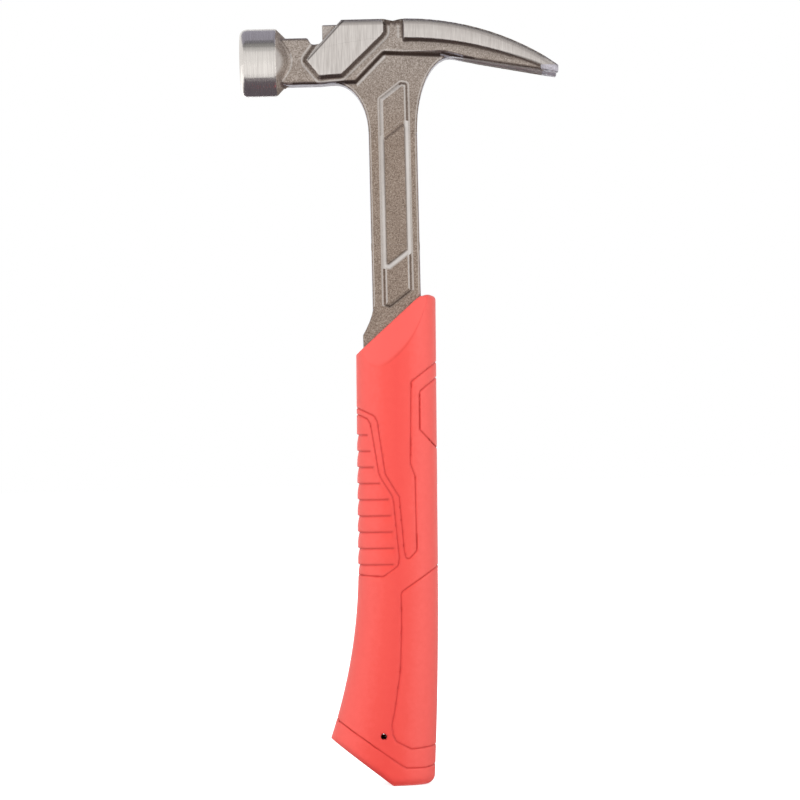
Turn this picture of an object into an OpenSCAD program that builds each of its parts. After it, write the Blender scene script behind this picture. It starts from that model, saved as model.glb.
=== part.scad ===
// Framing hammer: a one-piece steel forging with a grip moulded on its tang.
// Z runs up the shaft, the striking face looks along -X and the claw along +X.
// The origin is where the axis of the shaft meets the flat of the butt.

/* [Overall] */
// Butt flat to crown
overall_l = 340; // [325:1:380]

/* [Bell] */
// Diameter of the bell
bell_d = 30.2; // [28:0.2:36]
// Length of the turned bell
bell_l = 16.2; // [12:0.2:20]
// Length of the cone between bell and neck
bell_cone_l = 7; // [5:0.2:9]
// Shaft axis to striking face
face_reach = 67.5; // [62:0.5:76]
// Radius of the face's edge
face_edge_r = 3.5; // [2:0.1:5]
// Rise of the domed face
face_dome = 0.5; // [0.3:0.1:1]
// Crown down to the bell's axis
bell_drop = 17.5; // [16:0.1:20]

/* [Neck] */
// Height of the neck
neck_h = 20; // [17:0.2:22]
// Thickness of the neck and of the middle of the head
neck_t = 18; // [16:0.2:22]
// Chamfer along the neck
neck_edge = 1; // [0.4:0.1:2]
// Height of the slope along the neck's lower edges
neck_trim = 0.8; // [0.4:0.1:1.4]

/* [Nail set] */
// Shaft axis to the front of the nail notch
notch_reach = 37; // [34:0.5:42]
// Depth of the notch
notch_depth = 3; // [1.5:0.1:4.5]
// Run of the notch's sloping front
notch_slope = 1.7; // [0.5:0.1:3]
// Shaft axis to the nail stop
stop_reach = 30.4; // [28:0.2:33]
// Width of the nail stop
stop_w = 10; // [8:0.2:12]
// Crown down to the top of the nail stop
stop_drop = 1.6; // [0.8:0.1:2.4]
// Diameter of the magnet
magnet_d = 6; // [4:0.1:7]
// Thickness of the magnet
magnet_t = 2.5; // [1.5:0.1:4]
// Clearance round the magnet
magnet_gap = 0.05; // [0.02:0.01:0.15]

/* [Cheek] */
// Length of the ground cheek panel
cheek_l = 33.6; // [31:0.2:36]
// Height of the cheek panel
cheek_h = 24.2; // [22:0.2:26]
// Shaft axis to the back of the cheek panel
cheek_back = 3.6; // [2:0.2:6]
// Rise of the ground panels above the forged sides
panel_rise = 2; // [1:0.1:3]
// Run of the slope round the panels
panel_slope = 1.8; // [0.8:0.1:2.5]

/* [Claw] */
// Shaft axis to claw tips
claw_reach = 73.8; // [68:0.2:84]
// Radius of the claw's top
claw_top_r = 121; // [115:1:160]
// Shaft axis to the start of the claw's bend
claw_bend = 3.5; // [1:0.1:5]
// Thickness of the tips
claw_tip_t = 3.2; // [2:0.1:4.5]
// Shaft axis to the claw's root
claw_root = 22; // [20:0.2:26]
// Crown down to the underside at the root
claw_root_drop = 16.3; // [14:0.1:19]
// Width over both tines at the tips
claw_tip_w = 33; // [29:0.2:38]
// Length of the bevel on each tip's outer side
tip_bevel_l = 6.5; // [4:0.1:9]
// Width of the bevel on each tip's outer side
tip_bevel_w = 1.8; // [0.5:0.1:3]
// Shaft axis to the start of the ground band
band_start = 5.7; // [5:0.1:8]
// Height of the ground band at its start
band_h = 8.3; // [6:0.1:10]
// Radius of the ground band's lower edge
band_r = 143; // [135:1:170]
// Length of the nail slot
slot_l = 46; // [36:0.5:49]
// Width of the nail slot at the tips
slot_mouth_w = 11; // [8:0.2:14]
// Diameter of the nail slot's root
slot_root_d = 2.6; // [1.6:0.1:4]
// Width of the bevel under the nail slot's edges
slot_bevel_w = 2.2; // [1:0.1:3]

/* [Throat] */
// Reach of the fillet under the neck
throat_front_w = 16.2; // [12:0.1:19]
// Drop of the fillet under the neck
throat_front_h = 23; // [16:0.5:28]
// Reach of the fillet under the claw
throat_back_w = 16; // [13:0.1:18]
// Drop of the fillet under the claw
throat_back_h = 34; // [22:0.5:36]
// Roundness of the fillets, 2 for an ellipse
throat_round = 2.1; // [2:0.1:3]
// Crown down to the peak of the throat's recess
throat_peak_drop = 15.7; // [14:0.1:17]
// Run of the slope round the throat's recess
throat_slope = 1.6; // [0.8:0.1:2.5]

/* [Shaft] */
// Width of the shaft
shaft_w = 21.6; // [18:0.2:24]
// Thickness of the shaft
shaft_t = 12; // [10:0.2:14]
// Chamfer along the shaft
shaft_edge = 1.2; // [0.4:0.1:1.8]
// Crown down to the top of the side recess
recess_drop = 25.4; // [24:0.2:32]
// Length of the side recess
recess_l = 104.8; // [70:0.2:106]
// Front edge of the shaft to the recess
recess_front = 5; // [3.6:0.1:6]
// Back edge of the shaft to the recess
recess_back = 3.8; // [3.2:0.1:6]
// Slant of the recess's ends
recess_slant = 37; // [30:1:44]
// Cut across the recess's sharp corners
recess_nip = 3; // [2.6:0.1:3.4]
// Depth of the recess
recess_depth = 1; // [0.6:0.1:1.4]
// Run of the recess's sloping walls
recess_slope = 1.7; // [0.6:0.1:1.8]
// Length of the shallow step at each end of the recess
step_l = 17.4; // [10:0.2:22]
// Further depth between those steps
middle_depth = 0.8; // [0.4:0.1:1.4]

/* [Shoulder and tang] */
// Grip's front edge up to the shoulder's corner
shoulder_rise = 5.6; // [3:0.1:9]
// Step of the shoulder in front of the shaft
shoulder_out = 5.6; // [3:0.1:6]
// Length of the shoulder's slope
shoulder_slope = 14; // [10:0.5:20]
// Length of the shoulder below its slope
shoulder_l = 12; // [8:0.5:20]
// Width of the tang
tang_w = 18; // [14:0.2:20]
// Thickness of the tang
tang_t = 8; // [5:0.2:10]
// Butt flat to the end of the tang
tang_end = 36; // [34:1:60]
// Diameter of the key holes through the tang
key_d = 8; // [4:0.2:10]
// Number of key holes
key_count = 3; // [2:1:4]

/* [Grip] */
// Butt flat to the top of the grip's back
grip_l = 217.4; // [200:0.2:224]
// Width of the grip, front to back
grip_w = 35.6; // [33:0.2:40]
// Thickness of the grip
grip_t = 26; // [24:0.2:30]
// Centre of the grip ahead of the shaft's axis
grip_off = 0.5; // [0:0.1:1.5]
// Lean of the grip towards the front
grip_lean = 0.8; // [0:0.1:1.5]
// Roundness of the section, 2 for an ellipse
grip_round = 2.5; // [2:0.1:3.2]
// Drop of the grip's top from its back to its front
rim_drop = 25.8; // [22.4:0.2:37.4]
// Height where the front starts to flare
flare_h = 98; // [80:1:110]
// Height of the toe
toe_h = 21.4; // [19:0.2:25]
// Reach of the toe past the straight front
toe_out = 12.7; // [8:0.1:15]
// Draw of the heel towards the front
heel_in = 2.4; // [0.4:0.1:4]
// Swell of the sides at the toe
butt_swell = 1; // [0:0.1:2]
// Shaft axis to the front of the butt flat
butt_front = 6.5; // [4:0.1:9]
// Radius of the butt's edge
butt_edge_r = 4; // [2:0.1:5]
// Radius of the edge at the top of the grip's back
top_edge_r = 2.4; // [1:0.1:4]
// Thickness of the mouldings over the core
pad_t = 3.2; // [2.4:0.1:3.6]
// Gap of the seams
seam_gap = 0.4; // [0.2:0.05:0.8]
// Corner radius of the seams
seam_r = 1.4; // [0.4:0.1:2]
// Length of the bevel at the grip's slanted top
top_bevel_l = 11; // [9:0.2:14]
// Thickness of the grip over the steel at its top
top_rim_t = 2.2; // [1.2:0.1:3]

/* [Ribs] */
// Pitch of the ribs
rib_pitch = 7.2; // [6:0.1:7.4]
// Number of grooves
rib_count = 9; // [5:1:9]
// Depth of a groove
rib_depth = 0.7; // [0.3:0.1:1.2]
// Height of a groove's steep upper side
rib_steep = 0.5; // [0.2:0.1:1]
// Height of a groove's lower side
rib_gentle = 1.7; // [1:0.1:3]
// Butt flat to the lowest groove
rib_start = 98.2; // [95:0.2:104]
// Seam to the end of a groove
rib_margin = 2.2; // [1:0.1:4]

/* [Lanyard hole] */
// Diameter of the hole
lanyard_d = 2.7; // [2:0.1:5]
// Shaft axis to the hole
lanyard_reach = 10.2; // [9.5:0.1:14]
// Butt flat to the hole
lanyard_h = 22.3; // [20:0.1:28]

/* [Hidden] */
$fn = 64;
// How far a cut runs past what it cuts
overrun = 1;
// Corners of a grip section
grip_sides = 48;
// Corners of a seam's rounding
seam_fn = 16;

steel = "#a89a8c";
magnet_steel = "#c4c6ca";
core_red = "#c8362f";
grip_red = "#fa635c";

// Levels of the head and shaft
bell_z = overall_l - bell_drop;
neck_top = bell_z + neck_h / 2;
neck_foot = bell_z - neck_h / 2;
notch_z = neck_top - notch_depth;
mid_y = neck_t / 2;
panel_y = mid_y + panel_rise;
shaft_y = shaft_t / 2;

// The side outline of the cheek panel, as shares of its length and height
cheek_front = -cheek_back - cheek_l;
cheek_foot = overall_l - cheek_h;
cheek_shares = [
    [0, 0.28], [0.16, 0], [0.44, 0.02], [0.955, 0.69], [1, 0.76], [1, 1], [0.46, 1], [0.12, 0.5]
];
function cheek_point(s) = [cheek_front + s.x * cheek_l, cheek_foot + s.y * cheek_h];
cheek_points = [for (s = cheek_shares) cheek_point(s)];
// The open front of the cheek, from the nail notch up to the crown
brow_foot = cheek_points[7];
brow_top = cheek_points[6];
brow_lean = (brow_top.x - brow_foot.x) / (brow_top.y - brow_foot.y);
function brow_x(z) = brow_foot.x + (z - brow_foot.y) * brow_lean;

// The magnet's axis, halfway up the nail stop
magnet_z = (notch_z + overall_l - stop_drop) / 2;

// The claw
claw_arc_z = overall_l - claw_top_r;
claw_tip_z = claw_arc_z + sqrt(pow(claw_top_r, 2) - pow(claw_reach - claw_bend, 2));
claw_root_z = overall_l - claw_root_drop;
claw_under = atan2(claw_root_z - claw_tip_z + claw_tip_t, claw_reach - claw_root);
band_end = claw_reach - tip_bevel_l;
flare_turn = atan2(claw_tip_w / 2 - panel_y, band_end - band_start);

// The throat's fillets, from the shaft up to the neck and the claw
throat_front = -shaft_w / 2 - throat_front_w;
throat_back = shaft_w / 2 + throat_back_w;
throat_back_z = claw_root_z - (throat_back - claw_root) * tan(claw_under);
throat_steps = 14;
// A corner of the superellipse with roundness n
function curl(c, n) = sign(c) * pow(abs(c), 2 / n);
// A fillet of reach w and drop h from [x, z] on the neck or the claw down to the shaft
function fillet(x, z, w, h) = [
    for (i = [0 : throat_steps])
    let (a = 90 * i / throat_steps)
    [x - w * curl(sin(a), throat_round), z - h * (1 - curl(cos(a), throat_round))]
];
front_fillet = fillet(throat_front, neck_foot, -throat_front_w, throat_front_h);
back_fillet = fillet(throat_back, throat_back_z, throat_back_w, throat_back_h);

// The throat's recess, as shares of the fillets' reaches from the axis, with a diagonal at 45 degrees
throat_foot = min(neck_foot - throat_front_h, throat_back_z - throat_back_h) - overrun;
throat_peak = overall_l - throat_peak_drop;
throat_peak_share = 0.115;
throat_back_shares = [0.85, 1.27];
throat_peak_x = throat_peak_share * throat_front;
throat_chin = neck_foot + neck_trim - throat_slope;
throat_chin_x = throat_peak_x - throat_peak + throat_chin;
throat_end = throat_back_shares.y * throat_back;
throat_points = [
    [throat_chin_x, throat_foot],
    [throat_end, throat_foot],
    [throat_end, throat_back_z - neck_edge - (throat_end - throat_back) * tan(2 * claw_under)],
    [throat_back_shares.x * throat_back, throat_back_z],
    [throat_peak_x, throat_peak],
    [throat_chin_x, throat_chin]
];
// The strip along the underside of the neck that runs into the throat's recess
trim_points = [
    [-face_reach + bell_l, throat_foot],
    [throat_peak_x, throat_foot],
    [throat_peak_x, throat_chin],
    [-face_reach + bell_l, throat_chin]
];

// The recess in the shaft's sides
recess_front_x = -shaft_w / 2 + recess_front;
recess_back_x = shaft_w / 2 - recess_back;
recess_rise = (recess_back_x - recess_front_x) * tan(recess_slant);
recess_top = overall_l - recess_drop;
recess_foot = recess_top - recess_l;
nip_rise = recess_nip * tan(recess_slant);
// A stretch of the recess with slanted ends, between its lowest and highest corners
function recess_stretch(low, high) = [
    [recess_front_x, low + recess_nip],
    [recess_front_x + recess_nip, low + nip_rise],
    [recess_back_x, low + recess_rise],
    [recess_back_x, high - recess_nip],
    [recess_back_x - recess_nip, high - nip_rise],
    [recess_front_x, high - recess_rise]
];

// The shoulder and the tang
grip_front_l = grip_l - rim_drop;
rim_run = grip_w / 2 + grip_off + shaft_w / 2;
rim_slant = atan2(rim_drop, rim_run);
shoulder_x = -shaft_w / 2 - shoulder_out;
shoulder_z = grip_front_l + shoulder_rise;
shoulder_top = shoulder_z + shoulder_slope;
shoulder_foot = shoulder_z - shoulder_l;

// The grip's outline
flare_r = (pow(flare_h - toe_h, 2) + pow(toe_out, 2)) / (2 * toe_out);
heel_r = (pow(flare_h, 2) + pow(heel_in, 2)) / (2 * heel_in);
function sag(r, d) = r - sqrt(pow(r, 2) - pow(d, 2));
function lean_x(z) = -grip_off - (grip_l - z) * tan(grip_lean);
function straight_front(z) = lean_x(z) - grip_w / 2;
function flare_front(z) = straight_front(z) - sag(flare_r, max(flare_h - z, 0));
// How far the sections bend up from the level of the butt flat to the toe
lift_share = 0.6;
function toe_lift(z) = toe_h * max(1 - z / (lift_share * flare_h), 0);
function front_x(z) = flare_front(z + toe_lift(z));
function lift(x, z) = toe_lift(z) * max(-butt_front - x, 0) / (-butt_front - front_x(z));
function edge_in(z) =
    sag(butt_edge_r, max(butt_edge_r - z, 0)) + sag(top_edge_r, max(z - grip_l + top_edge_r, 0));
function back_x(z) = lean_x(z) + grip_w / 2 - sag(heel_r, max(flare_h - z, 0)) - edge_in(z);
function swell_share(z) = min(max((flare_h - z) / (flare_h - toe_h), 0), 1);
function half_t(z) = grip_t / 2 + butt_swell * pow(swell_share(z), 2) - edge_in(z);
// A point of the grip's skin at turn a on the section that leaves the back at height z, sunk by inset
function skin(a, z, inset) =
    let (
        middle = (front_x(z) + back_x(z)) / 2,
        half = (back_x(z) - front_x(z)) / 2 - inset,
        x = middle + half * curl(cos(a), grip_round)
    )
    [x, (half_t(z) - inset) * curl(sin(a), grip_round), z + lift(x, z)];
edge_steps = 4;
flare_steps = 12;
handle_steps = 5;
top_edge_h = grip_l - top_edge_r;
form_heights = concat(
    [for (i = [0 : edge_steps]) butt_edge_r * (1 - cos(90 * i / edge_steps))],
    [for (i = [1 : flare_steps]) butt_edge_r + (flare_h - butt_edge_r) * i / flare_steps],
    [for (i = [1 : handle_steps]) flare_h + (top_edge_h - flare_h) * i / handle_steps],
    [for (i = [1 : edge_steps]) top_edge_h + top_edge_r * sin(90 * i / edge_steps)]
);
last_height = len(form_heights) - 1;
// The form's heights from the last one below low to the first one above high
function heights(low, high) = [
    for (i = [0 : last_height])
    if (form_heights[min(i + 1, last_height)] > low && form_heights[max(i - 1, 0)] < high)
    form_heights[i]
];

// The seams in the side view, as shares of the grip's width and length from the origin
function seam_points(shares) = [for (s = shares) [s.x * grip_w, s.y * grip_l]];
sleeve_shares = [
    [-1.2, 1.2], [-1.2, 0.772], [-0.525, 0.772], [-0.318, 0.755], [-0.281, 0.743],
    [-0.197, 0.637], [-0.16, 0.626], [-0.065, 0.599], [-0.025, 0.589], [0.022, 0.48],
    [0.039, 0.4645], [0.084, 0.4625], [0.18, 0.479], [0.18, 0.63], [0.124, 0.656],
    [0.154, 0.823], [0.441, 0.858], [1.2, 0.95], [1.2, 1.2]
];
rib_seam_shares = [
    [-0.517, 0.7585], [-0.404, 0.749], [-0.368, 0.739], [-0.278, 0.639], [-0.247, 0.6265],
    [-0.115, 0.5915], [-0.098, 0.579], [-0.042, 0.4645], [-0.062, 0.4485], [-0.247, 0.4275],
    [-0.54, 0.431]
];
rib_shares = concat([[-1.2, 0.431], [-1.2, 0.7585]], rib_seam_shares);
back_pad_shares = [[1.2, 0.93], [0.42, 0.824], [0.261, 0.803], [0.25, 0.726], [0.446, 0.69], [1.2, 0.55]];
palm_shares = [
    [1.2, 0.567], [0.404, 0.442], [-0.011, 0.397], [-0.031, 0.392], [-0.034, 0.324],
    [-0.062, 0.233], [-0.14, 0.156], [-0.183, 0.1255], [-0.171, 0.106], [-0.132, 0.092],
    [0.056, 0.0755], [0.208, 0.0773], [0.343, 0.08], [1.2, 0.1]
];
butt_shares = [
    [-1.2, 0.205], [-0.84, 0.134], [-0.081, 0.0437], [-0.008, 0.0373], [0.222, 0.0363],
    [0.337, 0.04], [1.2, 0.067], [1.2, -0.2], [-1.2, -0.2]
];
rib_heights = [for (i = [0 : rib_count - 1]) rib_start + i * rib_pitch];
// The heights of a seam's corners on the grip, with a margin for its ends
function seam_heights(shares) = [for (s = shares) if (abs(s.x) < 1) s.y * grip_l];
function seam_low(shares) = min(seam_heights(shares)) - pad_t;
function seam_high(shares) = max(seam_heights(shares)) + pad_t;

// The outward normal of an edge of an anticlockwise outline
function edge_normal(a, b) = [b.y - a.y, a.x - b.x] / norm(b - a);
// An anticlockwise outline moved outwards by d
function outset(points, d) = [
    for (i = [0 : len(points) - 1])
    let (
        count = len(points),
        before = edge_normal(points[(i + count - 1) % count], points[i]),
        after = edge_normal(points[i], points[(i + 1) % count])
    )
    points[i] + d * (before + after) / (1 + before * after)
];

// A solid between an outline in the side view at depth near and a wider or narrower one at depth far
module taper(near_points, far_points, near, far) {
    count = len(near_points);
    corners = concat(
        [for (p = near_points) [p.x, near, p.y]],
        [for (p = far_points) [p.x, far, p.y]]
    );
    walls = [
        for (i = [0 : count - 1])
        let (j = (i + 1) % count)
        [i, j, j + count, i + count]
    ];
    ends = [[for (i = [count - 1 : -1 : 0]) i], [for (i = [count : 2 * count - 1]) i]];
    polyhedron(points = corners, faces = concat(walls, ends));
}

// Both sides of the hammer
module both_sides() {
    children();
    mirror([0, 1, 0]) children();
}

// A side view given thickness t across the hammer
module across(t) {
    rotate([90, 0, 0]) linear_extrude(height = t, center = true) children();
}

module chamfered(w, t, edge) {
    intersection() {
        square([w, t], center = true);
        rotate(45) square((w + t - 2 * edge) / sqrt(2), center = true);
    }
}

// The flat in the middle of the dome, as a share of the face
face_flat_share = 0.2;

module bell_profile() {
    bell_r = bell_d / 2;
    dome_r = (pow(bell_r, 2) + pow(face_dome, 2)) / (2 * face_dome);
    cone_r = min(neck_h, neck_t) / 2 - neck_edge;
    cone_end = bell_l + bell_cone_l;
    flat_sag = sag(dome_r, face_flat_share * bell_r);
    intersection() {
        union() {
            square([bell_r - face_edge_r, bell_l]);
            translate([0, face_edge_r]) square([bell_r, bell_l - face_edge_r]);
            translate([bell_r - face_edge_r, face_edge_r]) circle(face_edge_r);
            polygon([[0, bell_l], [bell_r, bell_l], [cone_r, cone_end], [0, cone_end]]);
        }
        translate([0, dome_r - flat_sag]) circle(dome_r, $fn = 4 * $fn);
    }
}

module bell() {
    translate([-face_reach, 0, bell_z]) rotate([0, 90, 0]) rotate_extrude() bell_profile();
}

module neck() {
    start = -face_reach + bell_l;
    difference() {
        translate([start, 0, bell_z])
            rotate([0, 90, 0])
            linear_extrude(height = brow_foot.x - start + neck_edge)
            chamfered(neck_h, neck_t, neck_edge);
        nail_notch();
        both_sides() hollow(trim_points);
    }
}

// The notch across the neck, open to the cheek's brow
module nail_notch() {
    top = neck_top + overrun;
    across(neck_t + 2 * overrun)
        polygon([
            [-notch_reach, top], [-notch_reach, neck_top], [-notch_reach + notch_slope, notch_z],
            [brow_x(notch_z), notch_z], [brow_x(top), top]
        ]);
}

module nail_stop() {
    across(stop_w)
        polygon([
            [-stop_reach, notch_z - neck_edge], [brow_top.x, notch_z - neck_edge],
            [brow_top.x, overall_l - stop_drop], [-stop_reach, overall_l - stop_drop]
        ]);
}

module magnet_seat() {
    translate([-stop_reach - overrun, 0, magnet_z])
        rotate([0, 90, 0])
        cylinder(d = magnet_d + 2 * magnet_gap, h = magnet_t + overrun);
}

// The head's side outline: cheek, claw and throat
module head_side() {
    polygon([
        [brow_foot.x, neck_foot], [brow_foot.x, brow_foot.y], brow_top,
        [claw_bend, overall_l], [claw_bend, neck_foot]
    ]);
    claw_side();
    polygon(concat(
        front_fillet,
        [for (i = [throat_steps : -1 : 0]) back_fillet[i]],
        [[0, throat_peak]]
    ));
}

module claw_side() {
    intersection() {
        translate([claw_bend, claw_arc_z]) circle(claw_top_r, $fn = 4 * $fn);
        polygon([
            [claw_bend, neck_foot], [claw_root, claw_root_z], [claw_reach, claw_tip_z - claw_tip_t],
            [claw_reach, overall_l + overrun], [claw_bend, overall_l + overrun]
        ]);
    }
}

// Half widths in the plan view: level up to the band, then flaring to the tips
module plan(root_y, tip_y) {
    half = [
        [cheek_front, root_y], [band_start, root_y],
        [band_end, tip_y], [claw_reach + overrun, tip_y - tip_bevel_w]
    ];
    linear_extrude(height = overall_l + overrun)
        polygon(concat(
            [for (p = half) [p.x, -p.y]],
            [for (i = [len(half) - 1 : -1 : 0]) half[i]]
        ));
}

// The ground band along the claw, raised above the forged side
module claw_band() {
    difference() {
        intersection() {
            across(claw_tip_w) intersection() {
                claw_side();
                translate([band_start, neck_foot]) square([claw_reach, overall_l]);
            }
            plan(panel_y, claw_tip_w / 2);
        }
        both_sides() band_relief();
    }
}

// The cone that slopes away below the band, square to the flaring side
module band_relief() {
    depth = panel_rise + overrun;
    out = panel_slope * overrun / panel_rise;
    translate([band_start, panel_y, 0])
        rotate([0, 0, flare_turn])
        translate([claw_bend - band_start, overrun, overall_l - band_h - band_r])
        rotate([90, 0, 0])
        cylinder(r1 = band_r + out, r2 = band_r - out * depth / overrun, h = depth + overrun, $fn = 4 * $fn);
}

module cheek_panel() {
    sunk = panel_slope * overrun / panel_rise;
    front = cheek_front - 2 * panel_slope;
    intersection() {
        taper(outset(cheek_points, panel_slope + sunk), cheek_points, mid_y - overrun, panel_y);
        across(2 * panel_y + overrun)
            polygon([
                [front, neck_foot], [band_start, neck_foot], [band_start, overall_l],
                brow_top, [brow_x(notch_z), notch_z], [front, notch_z]
            ]);
    }
}

// A hollow with sloping walls, down to the level of the shaft's sides
module hollow(points) {
    depth = claw_tip_w / 2 - shaft_y;
    past = throat_slope * depth / (mid_y - shaft_y);
    taper(points, outset(points, past), shaft_y, shaft_y + depth);
}

// The nail slot between the tines, with its underside edges bevelled
module nail_slot() {
    start = claw_reach - slot_l + slot_root_d / 2;
    run = claw_reach - start + overrun;
    spread = atan2((slot_mouth_w - slot_root_d) / 2, claw_reach - start);
    mouth_y = slot_root_d / 2 + run * tan(spread);
    under_z = claw_root_z - (start - claw_root) * tan(claw_under);
    bevel = sqrt(2) * slot_bevel_w;
    translate([start, 0, neck_foot - cheek_h]) linear_extrude(height = overall_l) {
        circle(d = slot_root_d);
        polygon([[0, -slot_root_d / 2], [run, -mouth_y], [run, mouth_y], [0, slot_root_d / 2]]);
    }
    both_sides()
        translate([start, slot_root_d / 2, under_z])
        rotate([0, claw_under, 0])
        rotate([0, 0, spread])
        rotate([45, 0, 0])
        translate([0, -bevel / 2, -bevel / 2])
        cube([slot_l + overrun, bevel, bevel]);
}

module head() {
    difference() {
        union() {
            intersection() {
                across(claw_tip_w) head_side();
                plan(mid_y, claw_tip_w / 2 - tip_bevel_w / 3);
            }
            claw_band();
            both_sides() cheek_panel();
        }
        both_sides() {
            hollow(throat_points);
            hollow(trim_points);
        }
        nail_slot();
    }
}

module shaft() {
    translate([0, 0, shoulder_foot])
        linear_extrude(height = neck_foot - shoulder_foot + neck_edge)
        chamfered(shaft_w, shaft_t, shaft_edge);
}

// The shallow recess with sloping walls, deeper between the steps at its ends
module side_recess() {
    floor_y = shaft_y - recess_depth;
    floor_points = outset(recess_stretch(recess_foot, recess_top), -recess_slope);
    past = recess_slope * (recess_depth + overrun) / recess_depth;
    taper(floor_points, outset(floor_points, past), floor_y, shaft_y + overrun);
    middle = outset(recess_stretch(recess_foot + step_l, recess_top - step_l), -recess_slope);
    sunk = outset(middle, -middle_depth / 2);
    taper(sunk, outset(middle, recess_depth / 2), floor_y - middle_depth, shaft_y);
}

module shoulder() {
    across(shaft_t)
        polygon([
            [0, shoulder_top], [-shaft_w / 2, shoulder_top], [shoulder_x, shoulder_z],
            [shoulder_x, shoulder_foot], [0, shoulder_foot]
        ]);
}

key_pitch = (shoulder_foot - tang_end) / (key_count + 1);

module key_holes(d, t) {
    for (i = [1 : key_count])
        translate([0, 0, tang_end + i * key_pitch])
            rotate([90, 0, 0])
            cylinder(d = d, h = t, center = true);
}

module tang() {
    difference() {
        translate([0, 0, tang_end])
            linear_extrude(height = shoulder_foot - tang_end + overrun)
            square([tang_w, tang_t], center = true);
        key_holes(key_d, tang_t + 2 * overrun);
    }
}

module hammer_forging() {
    color(steel) {
        bell();
        neck();
        difference() {
            union() {
                head();
                nail_stop();
                shaft();
            }
            magnet_seat();
            both_sides() side_recess();
        }
        shoulder();
        tang();
    }
}

module nail_magnet() {
    color(magnet_steel)
        translate([-stop_reach, 0, magnet_z])
        rotate([0, 90, 0])
        cylinder(d = magnet_d, h = magnet_t);
}

// The grip's form over a list of heights, sunk below its skin by inset
module grip_form(levels, inset) {
    corners = [for (z = levels) for (i = [0 : grip_sides - 1]) skin(360 * i / grip_sides, z, inset)];
    loft(corners, grip_sides, len(levels));
}

// A closed skin over rings of corners, each ring the same on both sides of the hammer
module loft(corners, count, rings) {
    walls = [
        for (k = [0 : rings - 2])
        for (i = [0 : count - 1])
        let (a = k * count + i, b = k * count + (i + 1) % count)
        each [[a, a + count, b + count], [a, b + count, b]]
    ];
    strips = concat(
        [[0, 1, count - 1]],
        [for (i = [1 : count / 2 - 2]) each [[i, i + 1, count - i - 1], [i, count - i - 1, count - i]]],
        [[count / 2 - 1, count / 2, count / 2 + 1]]
    );
    last = (rings - 1) * count;
    top = [for (f = strips) [last + f[2], last + f[1], last + f[0]]];
    polyhedron(points = corners, faces = concat(walls, strips, top));
}

// What lies under the grip's slanted top, lowered by drop
module under_rim(drop) {
    across(2 * grip_t)
        translate([shaft_w / 2, grip_l])
        rotate(rim_slant)
        translate([-grip_l, -2 * grip_l])
        square([2 * grip_l, 2 * grip_l - drop]);
}

// The bevel on one side of the slanted top
module rim_bevel() {
    rise = (grip_t / 2 - shaft_y - top_rim_t) / top_bevel_l;
    foot = 2 * top_bevel_l;
    translate([shaft_w / 2, 0, grip_l])
        rotate([0, -rim_slant, 0])
        rotate([90, 0, 90])
        linear_extrude(height = 2 * grip_l, center = true)
        polygon([
            [shaft_y + top_rim_t - rise * foot, foot],
            [shaft_y + top_rim_t + rise * foot, -foot],
            [grip_t, -foot],
            [grip_t, foot]
        ]);
}

// A region of the side view, with rounded corners, moved outwards by grow
module seam_region(shares, grow) {
    across(2 * grip_t)
        offset(r = seam_r + grow, $fn = seam_fn)
        offset(r = -2 * seam_r, $fn = seam_fn)
        offset(r = seam_r, $fn = seam_fn)
        polygon(seam_points(shares));
}

// The core between two heights, clear of the butt and of the bevelled top
module core_form(low, high) {
    intersection() {
        grip_form([for (z = heights(low, min(high, top_edge_h))) if (z >= butt_edge_r) z], pad_t);
        under_rim(top_bevel_l);
    }
}

module lanyard_hole() {
    translate([-lanyard_reach, 0, lanyard_h])
        rotate([90, 0, 0])
        cylinder(d = lanyard_d, h = 2 * grip_t, center = true);
}

module steel_space() {
    translate([0, 0, shoulder_foot])
        linear_extrude(height = overall_l - shoulder_foot)
        chamfered(shaft_w, shaft_t, shaft_edge);
    shoulder();
    tang();
}

module grip_core() {
    color(core_red) difference() {
        core_form(0, grip_l);
        steel_space();
        lanyard_hole();
    }
}

module upper_sleeve() {
    low = seam_low(sleeve_shares);
    color(grip_red) difference() {
        intersection() {
            grip_form(heights(low, grip_l), 0);
            seam_region(sleeve_shares, -seam_gap / 2);
            under_rim(0);
        }
        core_form(low, grip_l);
        both_sides() rim_bevel();
        steel_space();
    }
}

module grip_body() {
    color(grip_red) difference() {
        grip_form(heights(butt_edge_r, grip_front_l), 0);
        core_form(butt_edge_r, grip_front_l);
        for (shares = [sleeve_shares, rib_shares, back_pad_shares, palm_shares, butt_shares])
            seam_region(shares, seam_gap / 2);
        lanyard_hole();
    }
}

// The depth of the grooves at a point of the rib pad
function groove_share(z) = max([
    for (r = rib_heights)
    z > r ? 1 - (z - r) / rib_steep : 1 - (r - z) / rib_gentle
]);
rib_seam = seam_points(rib_seam_shares);
rib_edge = [for (i = [len(rib_seam) - 1 : -1 : 0]) [rib_seam[i].y, rib_seam[i].x]];
function fade_share(x, z) = min(max((lookup(z, rib_edge) - rib_margin - x) / rib_margin, 0), 1);
function rib_skin(a, z) =
    let (p = skin(a, z, 0))
    skin(a, z, rib_depth * max(groove_share(z), 0) * fade_share(p.x, z));

module rib_pad() {
    low = seam_low(rib_shares);
    high = seam_high(rib_shares);
    levels = concat(
        [low],
        [for (r = rib_heights) each [r - rib_gentle, r, r + rib_steep]],
        [high]
    );
    corners = [for (z = levels) for (i = [0 : grip_sides - 1]) rib_skin(360 * i / grip_sides, z)];
    color(grip_red) difference() {
        intersection() {
            loft(corners, grip_sides, len(levels));
            seam_region(rib_shares, -seam_gap / 2);
        }
        core_form(low, high);
    }
}

module pad(shares, low) {
    high = seam_high(shares);
    color(grip_red) difference() {
        intersection() {
            grip_form(heights(low, high), 0);
            seam_region(shares, -seam_gap / 2);
        }
        core_form(low, high);
    }
}

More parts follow.
